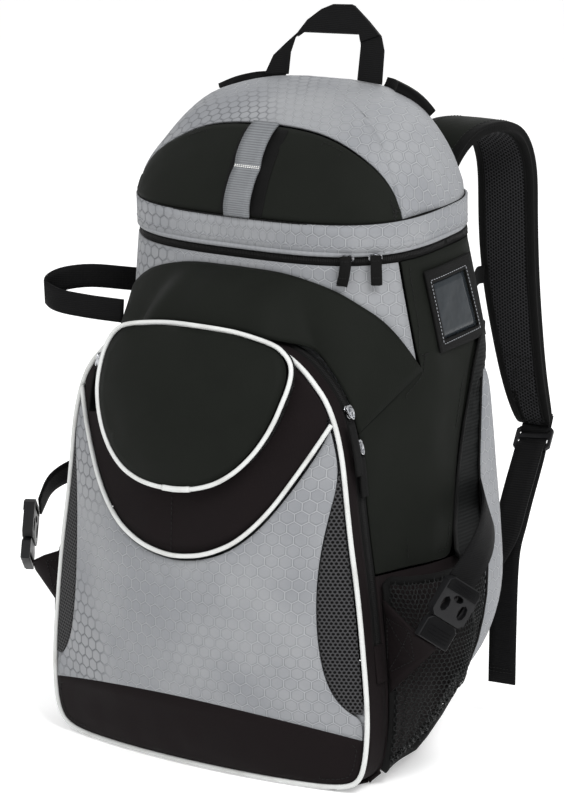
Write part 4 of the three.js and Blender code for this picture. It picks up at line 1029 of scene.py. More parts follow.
def dress_zips(made):
    lid = ring_run("top_zip_tape", tree_of(made["top_zip_tape"]), share=0.5)
    front = round_run("front_zip_tape", tree_of(made["front_zip_tape"]), *FRONT_ZIP_TURN, count=260)
    shield = round_run("shield_zip_gusset", tree_of(made["shield_zip_gusset"]), *SHIELD_ZIP_TURN)
    teeth = Stuff()
    for run, reach in ((lid, LID_TEETH), (front, POCKET_TEETH), (shield, POCKET_TEETH)):
        bars(teeth, run, reach, *TEETH, cross=True)
    teeth.piece("zip_coils", "zip_coil", "black_plastic")
    behind = Stuff()
    behind.band(lie(lid, LID_LINING[0], True), LID_LINING[1], TRIM_THICK, closed=True)
    behind.piece("top_zip_lining", "black_cloth")
    ends = Stuff()
    for run in (front[ZIP_ENDS], front[::-1][ZIP_ENDS]):
        (last, out), (inner, _) = run[0], run[-1]
        ahead = (last - inner).normalized()
        tab = [(last + ahead * far * MM, out) for far in ZIP_END_PLACES]
        ends.band(lie(tab, ZIP_END_LIFT), *ZIP_END_SIZE)
    ends.piece("front_zip_ends", "brown_black_cloth")


def slider_axes(node, middle):
    """A slider's middle, and its directions along the zip, across it and outward."""
    co = corners_of(node)
    place = np.unique(np.round(co, 6), axis=0).mean(0)
    _, _, axes = np.linalg.svd(co - place)
    radial = place - np.array(middle)
    radial /= np.linalg.norm(radial)
    best = int(np.argmax(np.abs(axes @ radial)))
    out = axes[best] * np.sign(axes[best] @ radial)
    rest = [axes[k] for k in range(3) if k != best]
    rest.sort(key=lambda a: -np.ptp(co @ a))
    along = Vector(rest[0])
    out = Vector(out)
    return Vector(place), along, along.cross(out), out


# Sliders: the point that their zip faces away from, and their width as a share.
TOP_ZIP_MIDDLE = LID_MIDDLE - Vector((0, 0, 0.02))
SLIDERS = {
    "top_zip_slider_a": (TOP_ZIP_MIDDLE, 0.75),
    "top_zip_slider_b": (TOP_ZIP_MIDDLE, 0.75),
    "front_zip_slider_a": (POCKET_MIDDLE, 1.0),
    "front_zip_slider_b": (POCKET_MIDDLE, 1.0),
    "shield_zip_slider": (Vector((0, -0.12, 0.31)), 1.0),
}
SLIDER_HALF = [(-2.6, -5.2), (-3.9, -2.5), (-3.2, 0.6), (-3.9, 3.4), (-2.2, 5.4)]  # half its outline, mm
SLIDER_PLATES = [(1.3, 1.0), (1.1, -1.2)]  # thickness and height of its two plates, mm
LIP_ACROSS = 3.0  # place of its side lips, mm
LIP_SIZE = (3.6, 0.8, 1.5)  # half sizes of a lip along, across and outward, mm
BRIDGE_HALF = 3.4  # half the bridge's length, mm
BRIDGE_FOOT = 1.5  # height of its ends, mm
BRIDGE_RISE = 2.0
BRIDGE_SIZE = (2.2, 0.9)  # its width and thickness, mm
BRIDGE_STEPS = 8
LOOP_TOP = 2.6  # height from which the wire loop hangs, mm
LOOP_DROP = 3.0  # how far below that its middle is, mm
LOOP_HALF = (3.4, 2.0)  # half its length and half its width, mm
LOOP_LEAN = 0.25  # how far it leans outward, as a share
LOOP_WIRE = 0.6
LOOP_STEPS = 20


def dress_sliders():
    """Cast sliders: two waisted plates, their side lips, a bridge and a wire loop through it."""
    for node, (middle, size) in SLIDERS.items():
        place, along, side, out = slider_axes(node, middle)
        if along.z < 0:
            along, side = -along, -side
        metal = Stuff()
        outline = [(a * size, u) for a, u in SLIDER_HALF] + [(-a * size, u) for a, u in SLIDER_HALF[::-1]]
        for thick, height in SLIDER_PLATES:
            metal.plate(outline, thick, place + out * height * MM, side, along, out)
        for sign in (-1, 1):
            lip = place + side * sign * LIP_ACROSS * size * MM
            metal.bar(lip, *(way * half * MM for way, half in zip((along, side, out), LIP_SIZE)))
        bridge = []
        for t in (math.pi * share for share in shares(BRIDGE_STEPS)):
            rise = along * (-BRIDGE_HALF * math.cos(t)) + out * (BRIDGE_FOOT + BRIDGE_RISE * math.sin(t))
            up = (along * -math.cos(t) + out * math.sin(t)).normalized()
            bridge.append((place + rise * MM, side, up))
        width, thick = BRIDGE_SIZE
        metal.band(bridge, width * size, thick)
        down = (out * LOOP_LEAN - UP).normalized()
        wide = down.cross(out).normalized()
        top = place + out * LOOP_TOP * MM
        loop = []
        for c, s in circle(LOOP_STEPS):
            spot = top + (down * (LOOP_DROP - LOOP_HALF[0] * c) + wide * LOOP_HALF[1] * s) * MM
            loop.append((spot, (wide * s - down * c).normalized(), down.cross(wide)))
        metal.tube(loop, LOOP_WIRE, closed=True)
        metal.piece(node + "_cast", "zip_metal", "zip_metal", [node], sharp=SMALL_SHARP)


# Ribbon pulls of the lid's zip: node, slider, lean of the foot to the right in mm.
TOP_PULLS = [("top_zip_pull_a", "top_zip_slider_a", -3.5), ("top_zip_pull_b", "top_zip_slider_b", 0.8)]
PULL_WIDTH = 9.0
PULL_STEPS = 12
PULL_HANG = (2.0, 4.6)  # how far its top is above its slider's middle and in front of it, mm
PULL_BOW = 1.2  # how far its middle stands out, mm
PULL_TUCK = 1.0  # how far its foot hangs in, mm
PULL_LAYERS = [(0.0, 1.1), (1.15, 1.0)]  # lift and thickness of its two layers, mm
PULL_FOOT = (0.6, 0.9, 1.3)  # lift of its folded foot, and half sizes up and outward, mm
PULL_SEW_LIFT = 1.7
PULL_SEWN = (2, 9)  # steps along a pull at which it is sewn
PULL_STITCH = (-3.6, 0, 3.6)  # places across a pull's stitches, mm


def dress_pulls():
    """Doubled ribbons that hang in front of their sliders, with a sewn end."""
    for node, slider, lean in TOP_PULLS:
        place, _, _, out = slider_axes(slider, TOP_ZIP_MIDDLE)
        out = Vector((out.x, out.y, 0)).normalized()
        side = UP.cross(out)
        top = place + (UP * PULL_HANG[0] + out * PULL_HANG[1]) * MM
        foot = Vector((top.x, top.y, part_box(node)[0].z))
        run = []
        for t in shares(PULL_STEPS):
            bow = PULL_BOW * math.sin(math.pi * t) - PULL_TUCK * t
            run.append((top.lerp(foot, t) + (side * lean * t * t + out * bow) * MM, out))
        ribbon = Stuff()
        for lift, thick in PULL_LAYERS:
            ribbon.band(lie(run, lift), PULL_WIDTH, thick)
        lift, high, deep = PULL_FOOT
        ribbon.bar(run[-1][0] + out * lift * MM, side * PULL_WIDTH / 2 * MM, UP * high * MM, out * deep * MM)
        ribbon.piece(node + "_ribbon", "binding", SLOT_OF[node], [node])
        sewn = Stuff()
        for at in PULL_SEWN:
            spot = run[at][0] + out * PULL_SEW_LIFT * MM
            sew(sewn, "pull", [(spot + side * w * MM, out) for w in PULL_STITCH])
        sewn.piece(node + "_stitches", "black_thread", "webbing")


# Side release buckles, in their own axes, in mm.
BUCKLE_FROM = Vector((203, -82, 128))
BUCKLE_TO = Vector((220, -52, 178))
BUCKLE_OUT = Vector((0.86, -0.51, 0))
SPRING_ROOT = 0.40  # share of the buckle's length at which its springs start
SPRING_SINK = 0.6  # how far the springs lie below the buckle's middle
SPRING_BACK = 3  # how far behind that place they are rooted
ARM_LENGTH = 26
ARM_ROOT = 4.5  # distance of a spring's arm from the middle at its root
ARM_SWAY = 7.0  # how much further out it bends
ARM_BEND = 0.75  # how much of a half wave its bend is
ARM_SIZE = (2.6, 3.4)
ARM_STEPS = 10
TONGUE_LENGTH = 24
TONGUE_SIZE = (3.0, 3.0)
TONGUE_STEPS = 6
RIB_SIZE = (11.5, 0.6, 0.6)  # half sizes of a grip's rib across, along and outward
GRIP_THICK = 1.0
GRIP_RISE = 0.4  # height of a grip's middle over the face that it lies on
RIB_RISE = 0.9
# Ribbed grips on the two halves: place along the buckle, height of the face, outline, places of the ribs.
PLUG_GRIP = [(-14, -11.2), (14, -11.2), (14, 4), (10.6, 7.2), (-10.6, 7.2), (-14, 4)]
SOCKET_GRIP = [(-15.2, 6.6), (15.2, 6.6), (15.2, 13.6), (12.6, 16.2), (-12.6, 16.2), (-15.2, 13.6)]
GRIPS = [(0.28, 3.5, PLUG_GRIP, (-8, -5, -2, 1)), (0.7, 4.5, SOCKET_GRIP, (9, 11.4, 13.8))]


def buckle_axes(sign):
    """The buckle's two ends, and its directions along, across and outward."""
    along = (BUCKLE_TO - BUCKLE_FROM).normalized()
    out = (BUCKLE_OUT - along * BUCKLE_OUT.dot(along)).normalized()
    return mirrored(sign, BUCKLE_FROM, BUCKLE_TO, along, along.cross(out), out)


def dress_buckles():
    for side, sign in SIDES.items():
        for kind in ("buckle_socket", "buckle_plug", "ladder_lock"):
            hard(f"{kind}_{side}", "black_plastic")
        first, last, along, across, out = buckle_axes(sign)
        spring = Stuff()
        root = first.lerp(last, SPRING_ROOT) - along * SPRING_BACK - out * SPRING_SINK
        for way in (-1, 1):
            arm = []
            for t in shares(ARM_STEPS):
                sway = ARM_ROOT + ARM_SWAY * math.sin(math.pi * ARM_BEND * t)
                arm.append(((root + along * ARM_LENGTH * t + across * way * sway) * MM, out))
            spring.band(lie(arm), *ARM_SIZE)
        tongue = [((root + along * TONGUE_LENGTH * t) * MM, out) for t in shares(TONGUE_STEPS)]
        spring.band(lie(tongue), *TONGUE_SIZE)
        spring.piece(f"buckle_spring_{side}", "black_plastic", sharp=SMALL_SHARP)
        grip = Stuff()
        for share, face, outline, ribs in GRIPS:
            middle = first.lerp(last, share) + out * face
            grip.plate(outline, GRIP_THICK, (middle + out * GRIP_RISE) * MM, across, along, out)
            for rib in ribs:
                spot = (middle + along * rib + out * RIB_RISE) * MM
                grip.bar(spot, *(way * half * MM for way, half in zip((across, along, out), RIB_SIZE)))
        # The grips take a darker plastic than the buckle, as painted shade on its down-tilted ends.
        grip.piece(f"buckle_grip_{side}", "plastic_grip", "black_plastic", sharp=SMALL_SHARP)


# Fold of the handle's top run, (across, up) from its foot, in mm.
HANDLE_FOOT = Vector((0, 68, 548.4))
HANDLE_RISE = Vector((0, 0.33, 0.944)).normalized()
HANDLE_FOLD = [
    (-35, 34), (-26, 48), (-14, 58), (-3, 63), (16, 64), (33, 52), (48, 40), (31, 33), (28, 40), (-30, 38),
]
HANDLE_THICK = 1.3
HANDLE_OFFSET = 2.0  # how far the fold's two layers lie from the middle of the handle


def dress_handle():
    """Flat webbing with its top run folded over the two legs."""
    made = hard("grab_handle", "webbing", width=0.5)
    lay_weave(made.data, "front")
    across = Vector((1, 0, 0))
    face = across.cross(HANDLE_RISE)
    fold = Stuff()
    for way in (-1, 1):
        origin = (HANDLE_FOOT + face * way * HANDLE_OFFSET) * MM
        fold.plate(HANDLE_FOLD, HANDLE_THICK, origin, across, HANDLE_RISE, face)
    fold.piece("grab_handle_fold", "webbing", sharp=MOULD_SHARP)


# Tabs on the lid: how far their low and high ends move outward, mm.
TABS = {"strap_tab_right": (-4.5, 0.0), "strap_tab_left": (8.0, -3.0)}
TAB_SINK = 4.0  # how far a tab's inner face goes into the lid's cloth, mm


def dress_tabs():
    for node, (low, high) in TABS.items():
        bm, _ = softened(node)
        foot, head = (corner.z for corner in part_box(node))
        moves = []
        for v in bm.verts:
            out = (v.co - LID_MIDDLE).normalized()
            share = (v.co.z - foot) / (head - foot)
            sink = TAB_SINK if v.normal.dot(out) < -0.5 else 0.0
            moves.append(out * (low * (1 - share) ** 2 + high * share ** 3 - sink) * MM)
        shift(bm, moves)
        mesh = mesh_of(bm)
        lay_weave(mesh, "flat")
        piece(node + "_cloth", mesh, "webbing", [node])


# Padded pieces, filled by a cloth simulation.
def puff(mesh, held, pressure, cap, frames=18):
    """Blows up a closed mesh with its held points fixed, and caps how far a point moves."""
    work = bpy.data.objects.new("work", mesh.copy())
    scene.collection.objects.link(work)
    work.vertex_groups.new(name="held").add(held, 1.0, "REPLACE")
    sim = work.modifiers.new("cloth", "CLOTH")
    settings = sim.settings
    settings.quality = 6
    settings.mass = 0.2
    settings.tension_stiffness = 12
    settings.compression_stiffness = 12
    settings.shear_stiffness = 4
    settings.bending_stiffness = 0.4
    settings.use_pressure = True
    settings.uniform_pressure_force = pressure
    settings.vertex_group_mass = "held"
    settings.effector_weights.gravity = 0
    sim.point_cache.frame_start = 1
    sim.point_cache.frame_end = frames
    for now in range(1, frames + 1):
        scene.frame_set(now)
    shown = work.evaluated_get(bpy.context.evaluated_depsgraph_get())
    start = places_of(mesh)
    move = places_of(shown.data) - start
    far = np.linalg.norm(move, axis=1, keepdims=True)
    soft_cap = cap * MM * np.tanh(far / (cap * MM)) / np.maximum(far, 1e-9)
    mesh.vertices.foreach_set("co", (start + move * soft_cap).ravel())
    spare = work.data
    bpy.data.objects.remove(work)
    bpy.data.meshes.remove(spare)
    scene.frame_set(1)


# Shoulder strap's middle line: place, width, in mm.
STRAP = [
    (68, 110, 402, 44), (70, 109.6, 438, 46), (75, 110, 472, 48), (84, 119, 497, 50), (91, 136, 507, 51),
    (96, 159, 508, 52), (97, 184, 498, 52), (98, 200, 472, 52), (98, 204, 430, 52), (100, 205, 382, 51),
    (106, 207, 330, 46), (113, 211, 280, 40), (119, 216, 250, 34), (119.6, 220, 241.4, 27),
]
STRAP_HELD = (2.6, 11.8)  # rows of the table between which the strap swells
STRAP_SEWN = (0.3, 12.4)  # rows between which its binding is sewn
STRAP_PUFF = (5.0, 2.6)  # pressure in the strap, and the most that a point moves, mm
STRAP_BINDING = 5.5  # its binding's stitches are this far from its edge, mm
BINDING_PAST = 1.5  # the binding ends this far outside them, mm
BINDING_EDGE = (0.1, 1.6, 0.7)  # lift, width and thickness of the binding's inner edge, mm
STRAP_BOX = [(103, 0, 262), (105, 0, 290), (127, 0, 290), (129, 0, 262)]  # sewn box at its foot, mm
STRAP_BAR = [(92, 0, 302), (128, 0, 302)]  # sewn line above the box, mm
STRAP_TURN = Vector((0, 0.157, 0.46))  # the strap bends round this point, m


def strap_rows(sign, parts=8):
    """Places, half widths and row numbers along the strap's middle."""
    table = through(list(np.array(STRAP, float)), False, parts)
    return [(Vector((sign * x, y, z)) * MM, wide / 2, k / parts) for k, (x, y, z, wide) in enumerate(table)]


def inner_side(place):
    """The direction in which the strap's inner face looks."""
    turn = Vector((place.x, STRAP_TURN.y, min(place.z, STRAP_TURN.z)))
    return (turn - place).normalized()


def strap_stitches(tree, rows, side, sign):
    """Binding edges and rows of stitches along both faces, and a sewn box at the foot."""
    edge, sewn = Stuff(), Stuff()
    for way in (-1, 1):
        for face_way in (1, -1):
            run = []
            for place, half, at in rows:
                if STRAP_SEWN[0] < at < STRAP_SEWN[1]:
                    toward = inner_side(place) * -face_way
                    spot = place + Vector((way * (half - STRAP_BINDING) * MM, 0, 0))
                    run.append(cast(tree, spot, toward, NEAR_STRAP))
            run = [hit for hit in run if hit]
            sew(sewn, "strap", run)
            if face_way == 1:
                lift, width, thick = BINDING_EDGE
                edge.band(lie(run, lift), width, thick)
    edge.piece(f"strap_binding_edge_{side}", "binding", "webbing")
    for line in (*boxed(mirrored(sign, *STRAP_BOX)), mirrored(sign, *STRAP_BAR)):
        sew_line(sewn, "strap_box", tree, line, TO_BACK)
    sewn.piece(f"strap_stitches_{side}", "black_thread", "webbing")


def dress_strap(side, sign):
    node = f"shoulder_strap_{side}"
    mesh = mesh_of(softened(node)[0])
    rows = strap_rows(sign)
    near = point_tree([Vector((0, place.y, place.z)) for place, _, _ in rows])
    inset, held = [], []
    for k, v in enumerate(mesh.vertices):
        place, half, at = rows[near.find(Vector((0, v.co.y, v.co.z)))[1]]
        inset.append(half - abs(v.co.x - place.x) / MM)
        if inset[k] < STRAP_BINDING or not STRAP_HELD[0] < at < STRAP_HELD[1]:
            held.append(k)
    puff(mesh, held, *STRAP_PUFF)
    lay_weave(mesh, "front")
    made = piece(node + "_pad", mesh, ["strap_mesh", "binding", "black_cloth"], [node])
    for face in mesh.polygons:
        if min(inset[k] for k in face.vertices) < STRAP_BINDING - BINDING_PAST:
            face.material_index = 1
        elif face.normal.dot(inner_side(face.center)) < 0:
            face.material_index = 2
    strap_stitches(tree_of(made), rows, side, sign)


BACK_PUFF = (6.0, 5.0)  # pressure in the back, and the most that a point moves, mm
BACK_FACING = 0.2  # faces that look less than this to the rear are held
BACK_LINES = (-46.0, 46.0)  # sewn lines down the back, mm from its middle
BACK_CROSS = (150.0, 255.0)  # sewn lines across it, heights in mm
BACK_SPAN = (40, 375)  # heights between which the lines down it run, mm
BACK_HALF = 120  # half the length of the lines across it, mm
BACK_FLAT = 380  # the back stays flat above this height, mm
SEAM_HALF = 3  # half the width of a sewn line, mm
BACK_RIM = 0.008  # the back stays flat this near its edge, m
SPOT_REACH = 0.045  # and this near a place where a strap is sewn on, m
STRAP_SPOTS = [(0.068, 0.107, 0.42), (0.121, 0.107, 0.372), (0.145, 0.107, 0.146)]


def dress_back():
    """The padded back: pads swell between sewn lines, and stay flat where the straps are sewn on."""
    bm, rims = softened("back_panel", 3)
    near = point_tree([v.co for v in rims])
    spots = [spot for sign in SIDES.values() for spot in mirrored(sign, *STRAP_SPOTS)]
    held = []
    for k, v in enumerate(bm.verts):
        x, z = v.co.x / MM, v.co.z / MM
        gaps = [abs(x - line) for line in BACK_LINES] + [abs(z - line) for line in BACK_CROSS]
        inside = v.normal.y < BACK_FACING
        by_strap = z > BACK_FLAT or any((v.co - spot).length < SPOT_REACH for spot in spots)
        if min(gaps) < SEAM_HALF or inside or by_strap or near.find(v.co)[2] < BACK_RIM:
            held.append(k)
    mesh = mesh_of(bm)
    puff(mesh, held, *BACK_PUFF)
    lay_weave(mesh, "front")
    made = piece("back_panel_pad", mesh, "strap_mesh", ["back_panel"])
    tree = tree_of(made)
    rows = Stuff()
    lines = [[(x, 0, z) for z in BACK_SPAN] for x in BACK_LINES]
    lines += [[(x, 0, z) for x in (-BACK_HALF, BACK_HALF)] for z in BACK_CROSS]
    for line in lines:
        sew_line(rows, "back", tree, line, TO_FRONT)
    rows.piece("back_stitches", "black_thread", "webbing")


# Netting of the side pockets, in mm.
NET_CELL = 4.2
NET_THREAD = 0.5
NET_LEAN = math.radians(37)  # the net is laid out as seen from this far round to the front
NET_LEVEL = 110  # height at which the net's own width is measured
NET_SPAN = np.arange(-60, 260, 0.5)  # where rays look for the net at that height
NET_PAST = (30, 60)  # how far the honeycomb is laid out past the two ends
POCKET_AXIS = 60  # upright axis that the pocket's cloth faces away from, from the middle
MOUTH = 172  # height of the pocket's open edge
MOUTH_FADE = 6  # height over which the mouth's pleats die out
STRIP_FADE = 10  # height over which the strip's ribs begin
RIB_PITCH = 6.5  # ribs of the strip above the mouth
STRIP_RIB = 0.5  # depth of the ribs on the strip itself
STRIP_GAP = 1  # how far above the mouth the strip starts
PLEAT_LOW = (40, 115)  # heights over which the low pleats die out
PLEAT_MOUTH = (140, 165)  # heights over which the mouth's pleats begin
PLEAT_FRONT = (60, 110)  # distances along the net over which the low pleats die out
PLEAT_PITCH = 9.5
PLEAT_SWAY = (1.1, 17)  # how the pleats wander: radians, and the height to a radian
NET_DEPTHS = (1.5, 0.6, 0.6)  # depth of the low pleats, of the mouth's pleats and of the ribs
NET_LONGEST = 4  # threads longer than this many cells are left out
NET_OVER = 4  # how far the net runs on above the mouth
NET_TAPE = (0.3, 7.0, 1.8)  # lift, width and thickness of the tape round its edge


def honeycomb(width, low, high):
    """Edges of a honeycomb over a rectangle, as pairs of points."""
    radius = width / math.sqrt(3)
    turns = [math.radians(60 * k + 30) for k in range(4)]
    for j in range(int((high[1] - low[1]) / (1.5 * radius)) + 1):
        for i in range(int((high[0] - low[0]) / width) + 1):
            x = low[0] + width * (i + 0.5 * (j % 2))
            z = low[1] + 1.5 * radius * j
            points = [(x + radius * math.cos(t), z + radius * math.sin(t)) for t in turns]
            yield from zip(points, points[1:])


def largest_group(pairs):
    """The pairs that belong to the largest joined group."""
    groups = {}
    for a, b in pairs:
        small, large = sorted((groups.setdefault(a, {a}), groups.setdefault(b, {b})), key=len)
        if small is not large:
            large |= small
            for name in small:
                groups[name] = large
    largest = max(groups.values(), key=len)
    return [(a, b) for a, b in pairs if a in largest]


def net_folds(along, z):
    """Gathers of the net: upright pleats low down and at the mouth, small ribs in the strip above."""
    low = (1 - step(z, *PLEAT_LOW)) * (1 - step(along, *PLEAT_FRONT))
    mouth = step(z, *PLEAT_MOUTH) * (1 - step(z, MOUTH, MOUTH + MOUTH_FADE))
    strip = step(z, MOUTH, MOUTH + STRIP_FADE)
    turn, height = PLEAT_SWAY
    pleat = math.sin(math.tau * along / PLEAT_PITCH + turn * math.sin(z / height))
    rib = math.sin(math.tau * z / RIB_PITCH)
    low_deep, mouth_deep, rib_deep = NET_DEPTHS
    return (low_deep * low + mouth_deep * mouth) * pleat + rib_deep * strip * rib


def dress_net(side, sign):
    """Threads of the net, laid out along the pocket's wall."""
    node = f"side_mesh_pocket_{side}"
    bm = solid(node)
    tree = BVHTree.FromBMesh(bm)
    bm.free()
    c, s = math.cos(NET_LEAN), math.sin(NET_LEAN)
    toward, across = mirrored(sign, (-c, s, 0), (s, c, 0))

    def hit(share, z):
        return cast(tree, (across * share + UP * z) * MM, toward)

    found = [(share, hit(share, NET_LEVEL)) for share in NET_SPAN]
    shares, places = zip(*((share, h[0]) for share, h in found if h))
    walked = np.cumsum([0.0] + [(b - a).length / MM for a, b in zip(places, places[1:])])
    known = {}

    def knot(along, z):
        key = (round(along, 2), round(z, 2))
        if key not in known:
            past = min(along, 0) + max(along - walked[-1], 0)
            known[key] = hit(float(np.interp(along, walked, shares)) + past, z)
            if known[key]:
                place, out = known[key]
                known[key] = (place + out * net_folds(along, z) * MM, out)
        return key, known[key]

    low, high = (-NET_PAST[0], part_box(node)[0].z / MM), (walked[-1] + NET_PAST[1], MOUTH + NET_OVER)
    pairs = []
    for ends in honeycomb(NET_CELL, low, high):
        (a, first), (b, second) = (knot(*spot) for spot in ends)
        if first and second and (first[0] - second[0]).length < NET_LONGEST * NET_CELL * MM:
            pairs.append((a, b))
    net = Stuff()
    for a, b in largest_group(pairs):
        net.tube(lie([known[a], known[b]]), NET_THREAD, sides=4, caps=False)
    net.piece(f"side_net_{side}", "net", "mesh", [node])


def dress_net_edges(side, sign):
    """The ribbed strip above the pocket's mouth, and the tape round the pocket's edge."""
    node = f"side_mesh_pocket_{side}"
    bm, _ = softened(node, 3, relax=False)
    below = [f for f in bm.faces if f.calc_center_median().z < (MOUTH + STRIP_GAP) * MM]
    bmesh.ops.delete(bm, geom=below, context="FACES")
    for v in bm.verts:
        v.co += v.normal * STRIP_RIB * math.sin(math.tau * v.co.z / MM / RIB_PITCH) * MM
    strip = mesh_of(bm)
    lay_weave(strip, "side")
    piece(f"side_net_strip_{side}", strip, "net_strip", ())
    tape = Stuff()
    edge = rounded(edge_loops(node, BAG_MIDDLE)[-1], times=1)
    run = [(p, Vector((p.x - sign * POCKET_AXIS * MM, p.y, 0)).normalized()) for p in edge]
    lift, width, thick = NET_TAPE
    tape.band(lie(run, lift, True), width, thick, closed=True)
    tape.piece(f"side_net_tapes_{side}", "binding", "mesh")


# Black lining that shows in the slit between the side panel and the strip behind it, in mm.
LINING_DEPTH = 2.0  # how far behind the cloth it lies
LINING_LAP = 8.0  # how far it runs on behind the cloth on both sides
LINING_IN = 90  # walls nearer the middle than this are the other side's
LINING_HEIGHTS = np.arange(190.0, 400.0, 6.0)
LINING_DEPTHS = np.arange(-20.0, 105.0, 1.0)
LINING_STEPS = 8


def dress_lining(made, side, sign):
    panel = tree_of(made[f"side_panel_{side}"])
    behind = tree_of(made[f"rear_gusset_{side}"], NODES[f"side_mesh_pocket_{side}"])
    toward = Vector((-sign, 0, 0))

    def profile(tree, z):
        """How far out a wall stands at each depth where there is one."""
        hits = ((y, cast(tree, Vector((0, y, z)) * MM, toward)) for y in LINING_DEPTHS)
        outs = ((y, sign * hit[0].x / MM) for y, hit in hits if hit)
        return [(y, x) for y, x in outs if x > LINING_IN]

    rows = []
    for z in LINING_HEIGHTS:
        front = profile(panel, z)
        rear = [(y, x) for y, x in profile(behind, z) if front and y > front[-1][0]]
        if len(front) > LINING_LAP and len(rear) > LINING_LAP:
            depths = np.linspace(front[-1][0] - LINING_LAP, rear[0][0] + LINING_LAP, LINING_STEPS)
            across = np.interp(depths, *zip(*(front + rear))) - LINING_DEPTH
            rows.append([Vector((sign * x, y, z)) * MM for x, y in zip(across, depths)])
    lining = Stuff()
    lining.sheet(rows, -toward, TRIM_THICK)
    lining.piece(f"side_lining_{side}", "black_cloth")


# Ladder locks: webbing through both of their slots, in mm.
LOCK = Vector((122, 212, 230))
LOCK_ANCHOR = Vector((148, 122, 152))
LOCK_ACROSS = Vector((1, 0.2, 0))
LOCK_WIDTH = 24.6
LOOP_THICK = 1.5
FLAT_THICK = 1.4
# The strap's loop through the lock, as places along the lock and outward.
LOCK_HALF = [(-26, 1.2), (-18, 2.4), (-11, 3.0), (-7.5, 2.2)]
LOCK_LOOP = LOCK_HALF + [(-6, 0)] + [(a, -o) for a, o in LOCK_HALF[::-1]]
LOCK_FLATS = [(-6, 3.6), (4.5, 7.6)]  # flat runs in the slots: place along the lock and length


def dress_lock(side, sign):
    along = (LOCK_ANCHOR - LOCK).normalized()
    out = LOCK_ACROSS.cross(along).normalized()
    place, along, across, out = mirrored(sign, LOCK, along, along.cross(out), out)
    web = Stuff()
    frames = []
    for k, (a, o) in enumerate(LOCK_LOOP):
        before, after = LOCK_LOOP[max(k - 1, 0)], LOCK_LOOP[min(k + 1, len(LOCK_LOOP) - 1)]
        ahead = (along * (after[0] - before[0]) + out * (after[1] - before[1])).normalized()
        frames.append(((place + along * a + out * o) * MM, across, ahead.cross(across).normalized()))
    web.band(frames, LOCK_WIDTH - 0.1, LOOP_THICK)
    for a, length in LOCK_FLATS:
        w, h = LOCK_WIDTH / 2, length / 2
        flat = [(-w, -h), (w, -h), (w, h), (-w, h)]
        web.plate(flat, FLAT_THICK, (place + along * a) * MM, across, along, out)
    web.piece(f"lock_webbing_{side}", "webbing")


# Seams, hems, stitches and small trims, in mm.
ARCH_INSET = 4.0  # rows of stitches on both sides of the visor's edge
ARCH_LOW = 452  # the outer row stays above this height
BAND_ROW = 0.28  # height of the lid band's stitches, as a share of the band
SIDE_INSET = 6.5
SIDE_FRONT = -45  # the side panels' stitches stay behind this
HEM_INSET = 4.5
YOKE_LINE = [(-1.0, 0, 160), (-1.0, 0, 330)]
WING_BOX = [(158, 0, 96), (158, 0, 142), (184, 0, 138), (184, 0, 112)]
TAIL_HEIGHTS = (44, 47)
TAIL_ENDS = (131, 155)
# Edges of the lid band, the lower one first: piece, look, slot, radius, lift, sides.
LID_EDGES = [
    ("lid_band_roll", "grey_trim", "grey_ripstop", 2.1, -0.6, 10),
    ("lid_seam", "binding", "webbing", 0.8, -0.3, 6),
]


def trim_lid(made, black, grey):
    around = rounded(edge_loops("lid_visor", LID_MIDDLE)[-1])
    arch = beside(around, tree_of(made["lid_hood"]), ARCH_INSET, LID_MIDDLE)
    sew(grey, "arch", [r for r in arch if r[0].z > ARCH_LOW * MM])
    sew(black, "arch", beside(around, tree_of(made["lid_visor"]), -ARCH_INSET, LID_MIDDLE))
    for loop, (name, look, slot, radius, lift, sides) in zip(edge_loops("lid_band", LID_MIDDLE), LID_EDGES):
        outward = [(p, Vector((p.x, p.y - LID_MIDDLE.y, 0)).normalized()) for p in rounded(loop)]
        edge = Stuff()
        edge.tube(lie(outward, lift, True), radius, closed=True, sides=sides)
        edge.piece(name, look, slot)
    sew(grey, "band", ring_run("lid_band", tree_of(made["lid_band"]), BAND_ROW, count=400))


SHELL_ROW = 0.6  # corners of the shell within this height are one row
SHELL_CORNER = (100, -50)  # the welts lie further out and further forward than this
WELT_LIFT = -0.6
WELT_RADIUS = 2.0


def trim_shell():
    """Welts down the front corners of the lower shell."""
    shell = corners_of("lower_shell")
    welts = Stuff()
    for sign in SIDES.values():
        run = []
        for z in np.unique(np.round(shell[:, 2], 3)):
            level = np.abs(shell[:, 2] - z) < SHELL_ROW * MM
            row = shell[level & (sign * shell[:, 0] > SHELL_CORNER[0] * MM)]
            if len(row) and row[:, 1].min() < SHELL_CORNER[1] * MM:
                run.append((Vector(row[np.argmin(row[:, 1])]), Vector((sign, -1, 0)).normalized()))
        welts.tube(lie(run, WELT_LIFT), WELT_RADIUS, sides=10)
    welts.piece("shell_seams", "brown_black_cloth")


def trim_body(made, black):
    for side in SIDES:
        node = f"side_panel_{side}"
        around = rounded(edge_loops(node, BAG_MIDDLE)[-1])
        rows = beside(around, tree_of(made[node]), -SIDE_INSET, BAG_MIDDLE)
        sew(black, "panel", [r for r in rows if r[0].y > SIDE_FRONT * MM])
    trim_shell()
    sew_line(black, "yoke", tree_of(made["front_yoke"]), YOKE_LINE, TO_BACK)
    hem = rounded(edge_loops("front_base_band", POCKET_MIDDLE)[-1])
    sew(black, "panel", beside(hem, tree_of(made["front_base_band"]), -HEM_INSET, POCKET_MIDDLE))
    for side, sign in SIDES.items():
        wing = tree_of(made[f"side_wing_{side}"])
        for line in boxed(mirrored(sign, *WING_BOX)):
            sew_line(black, "wing", wing, line, TO_BACK)
        tail = tree_of(made[f"lower_webbing_{side}"])
        for z in TAIL_HEIGHTS:
            for toward in (TO_FRONT, TO_BACK):
                sew_line(black, "tail", tail, mirrored(sign, *((x, 0, z) for x in TAIL_ENDS)), toward)


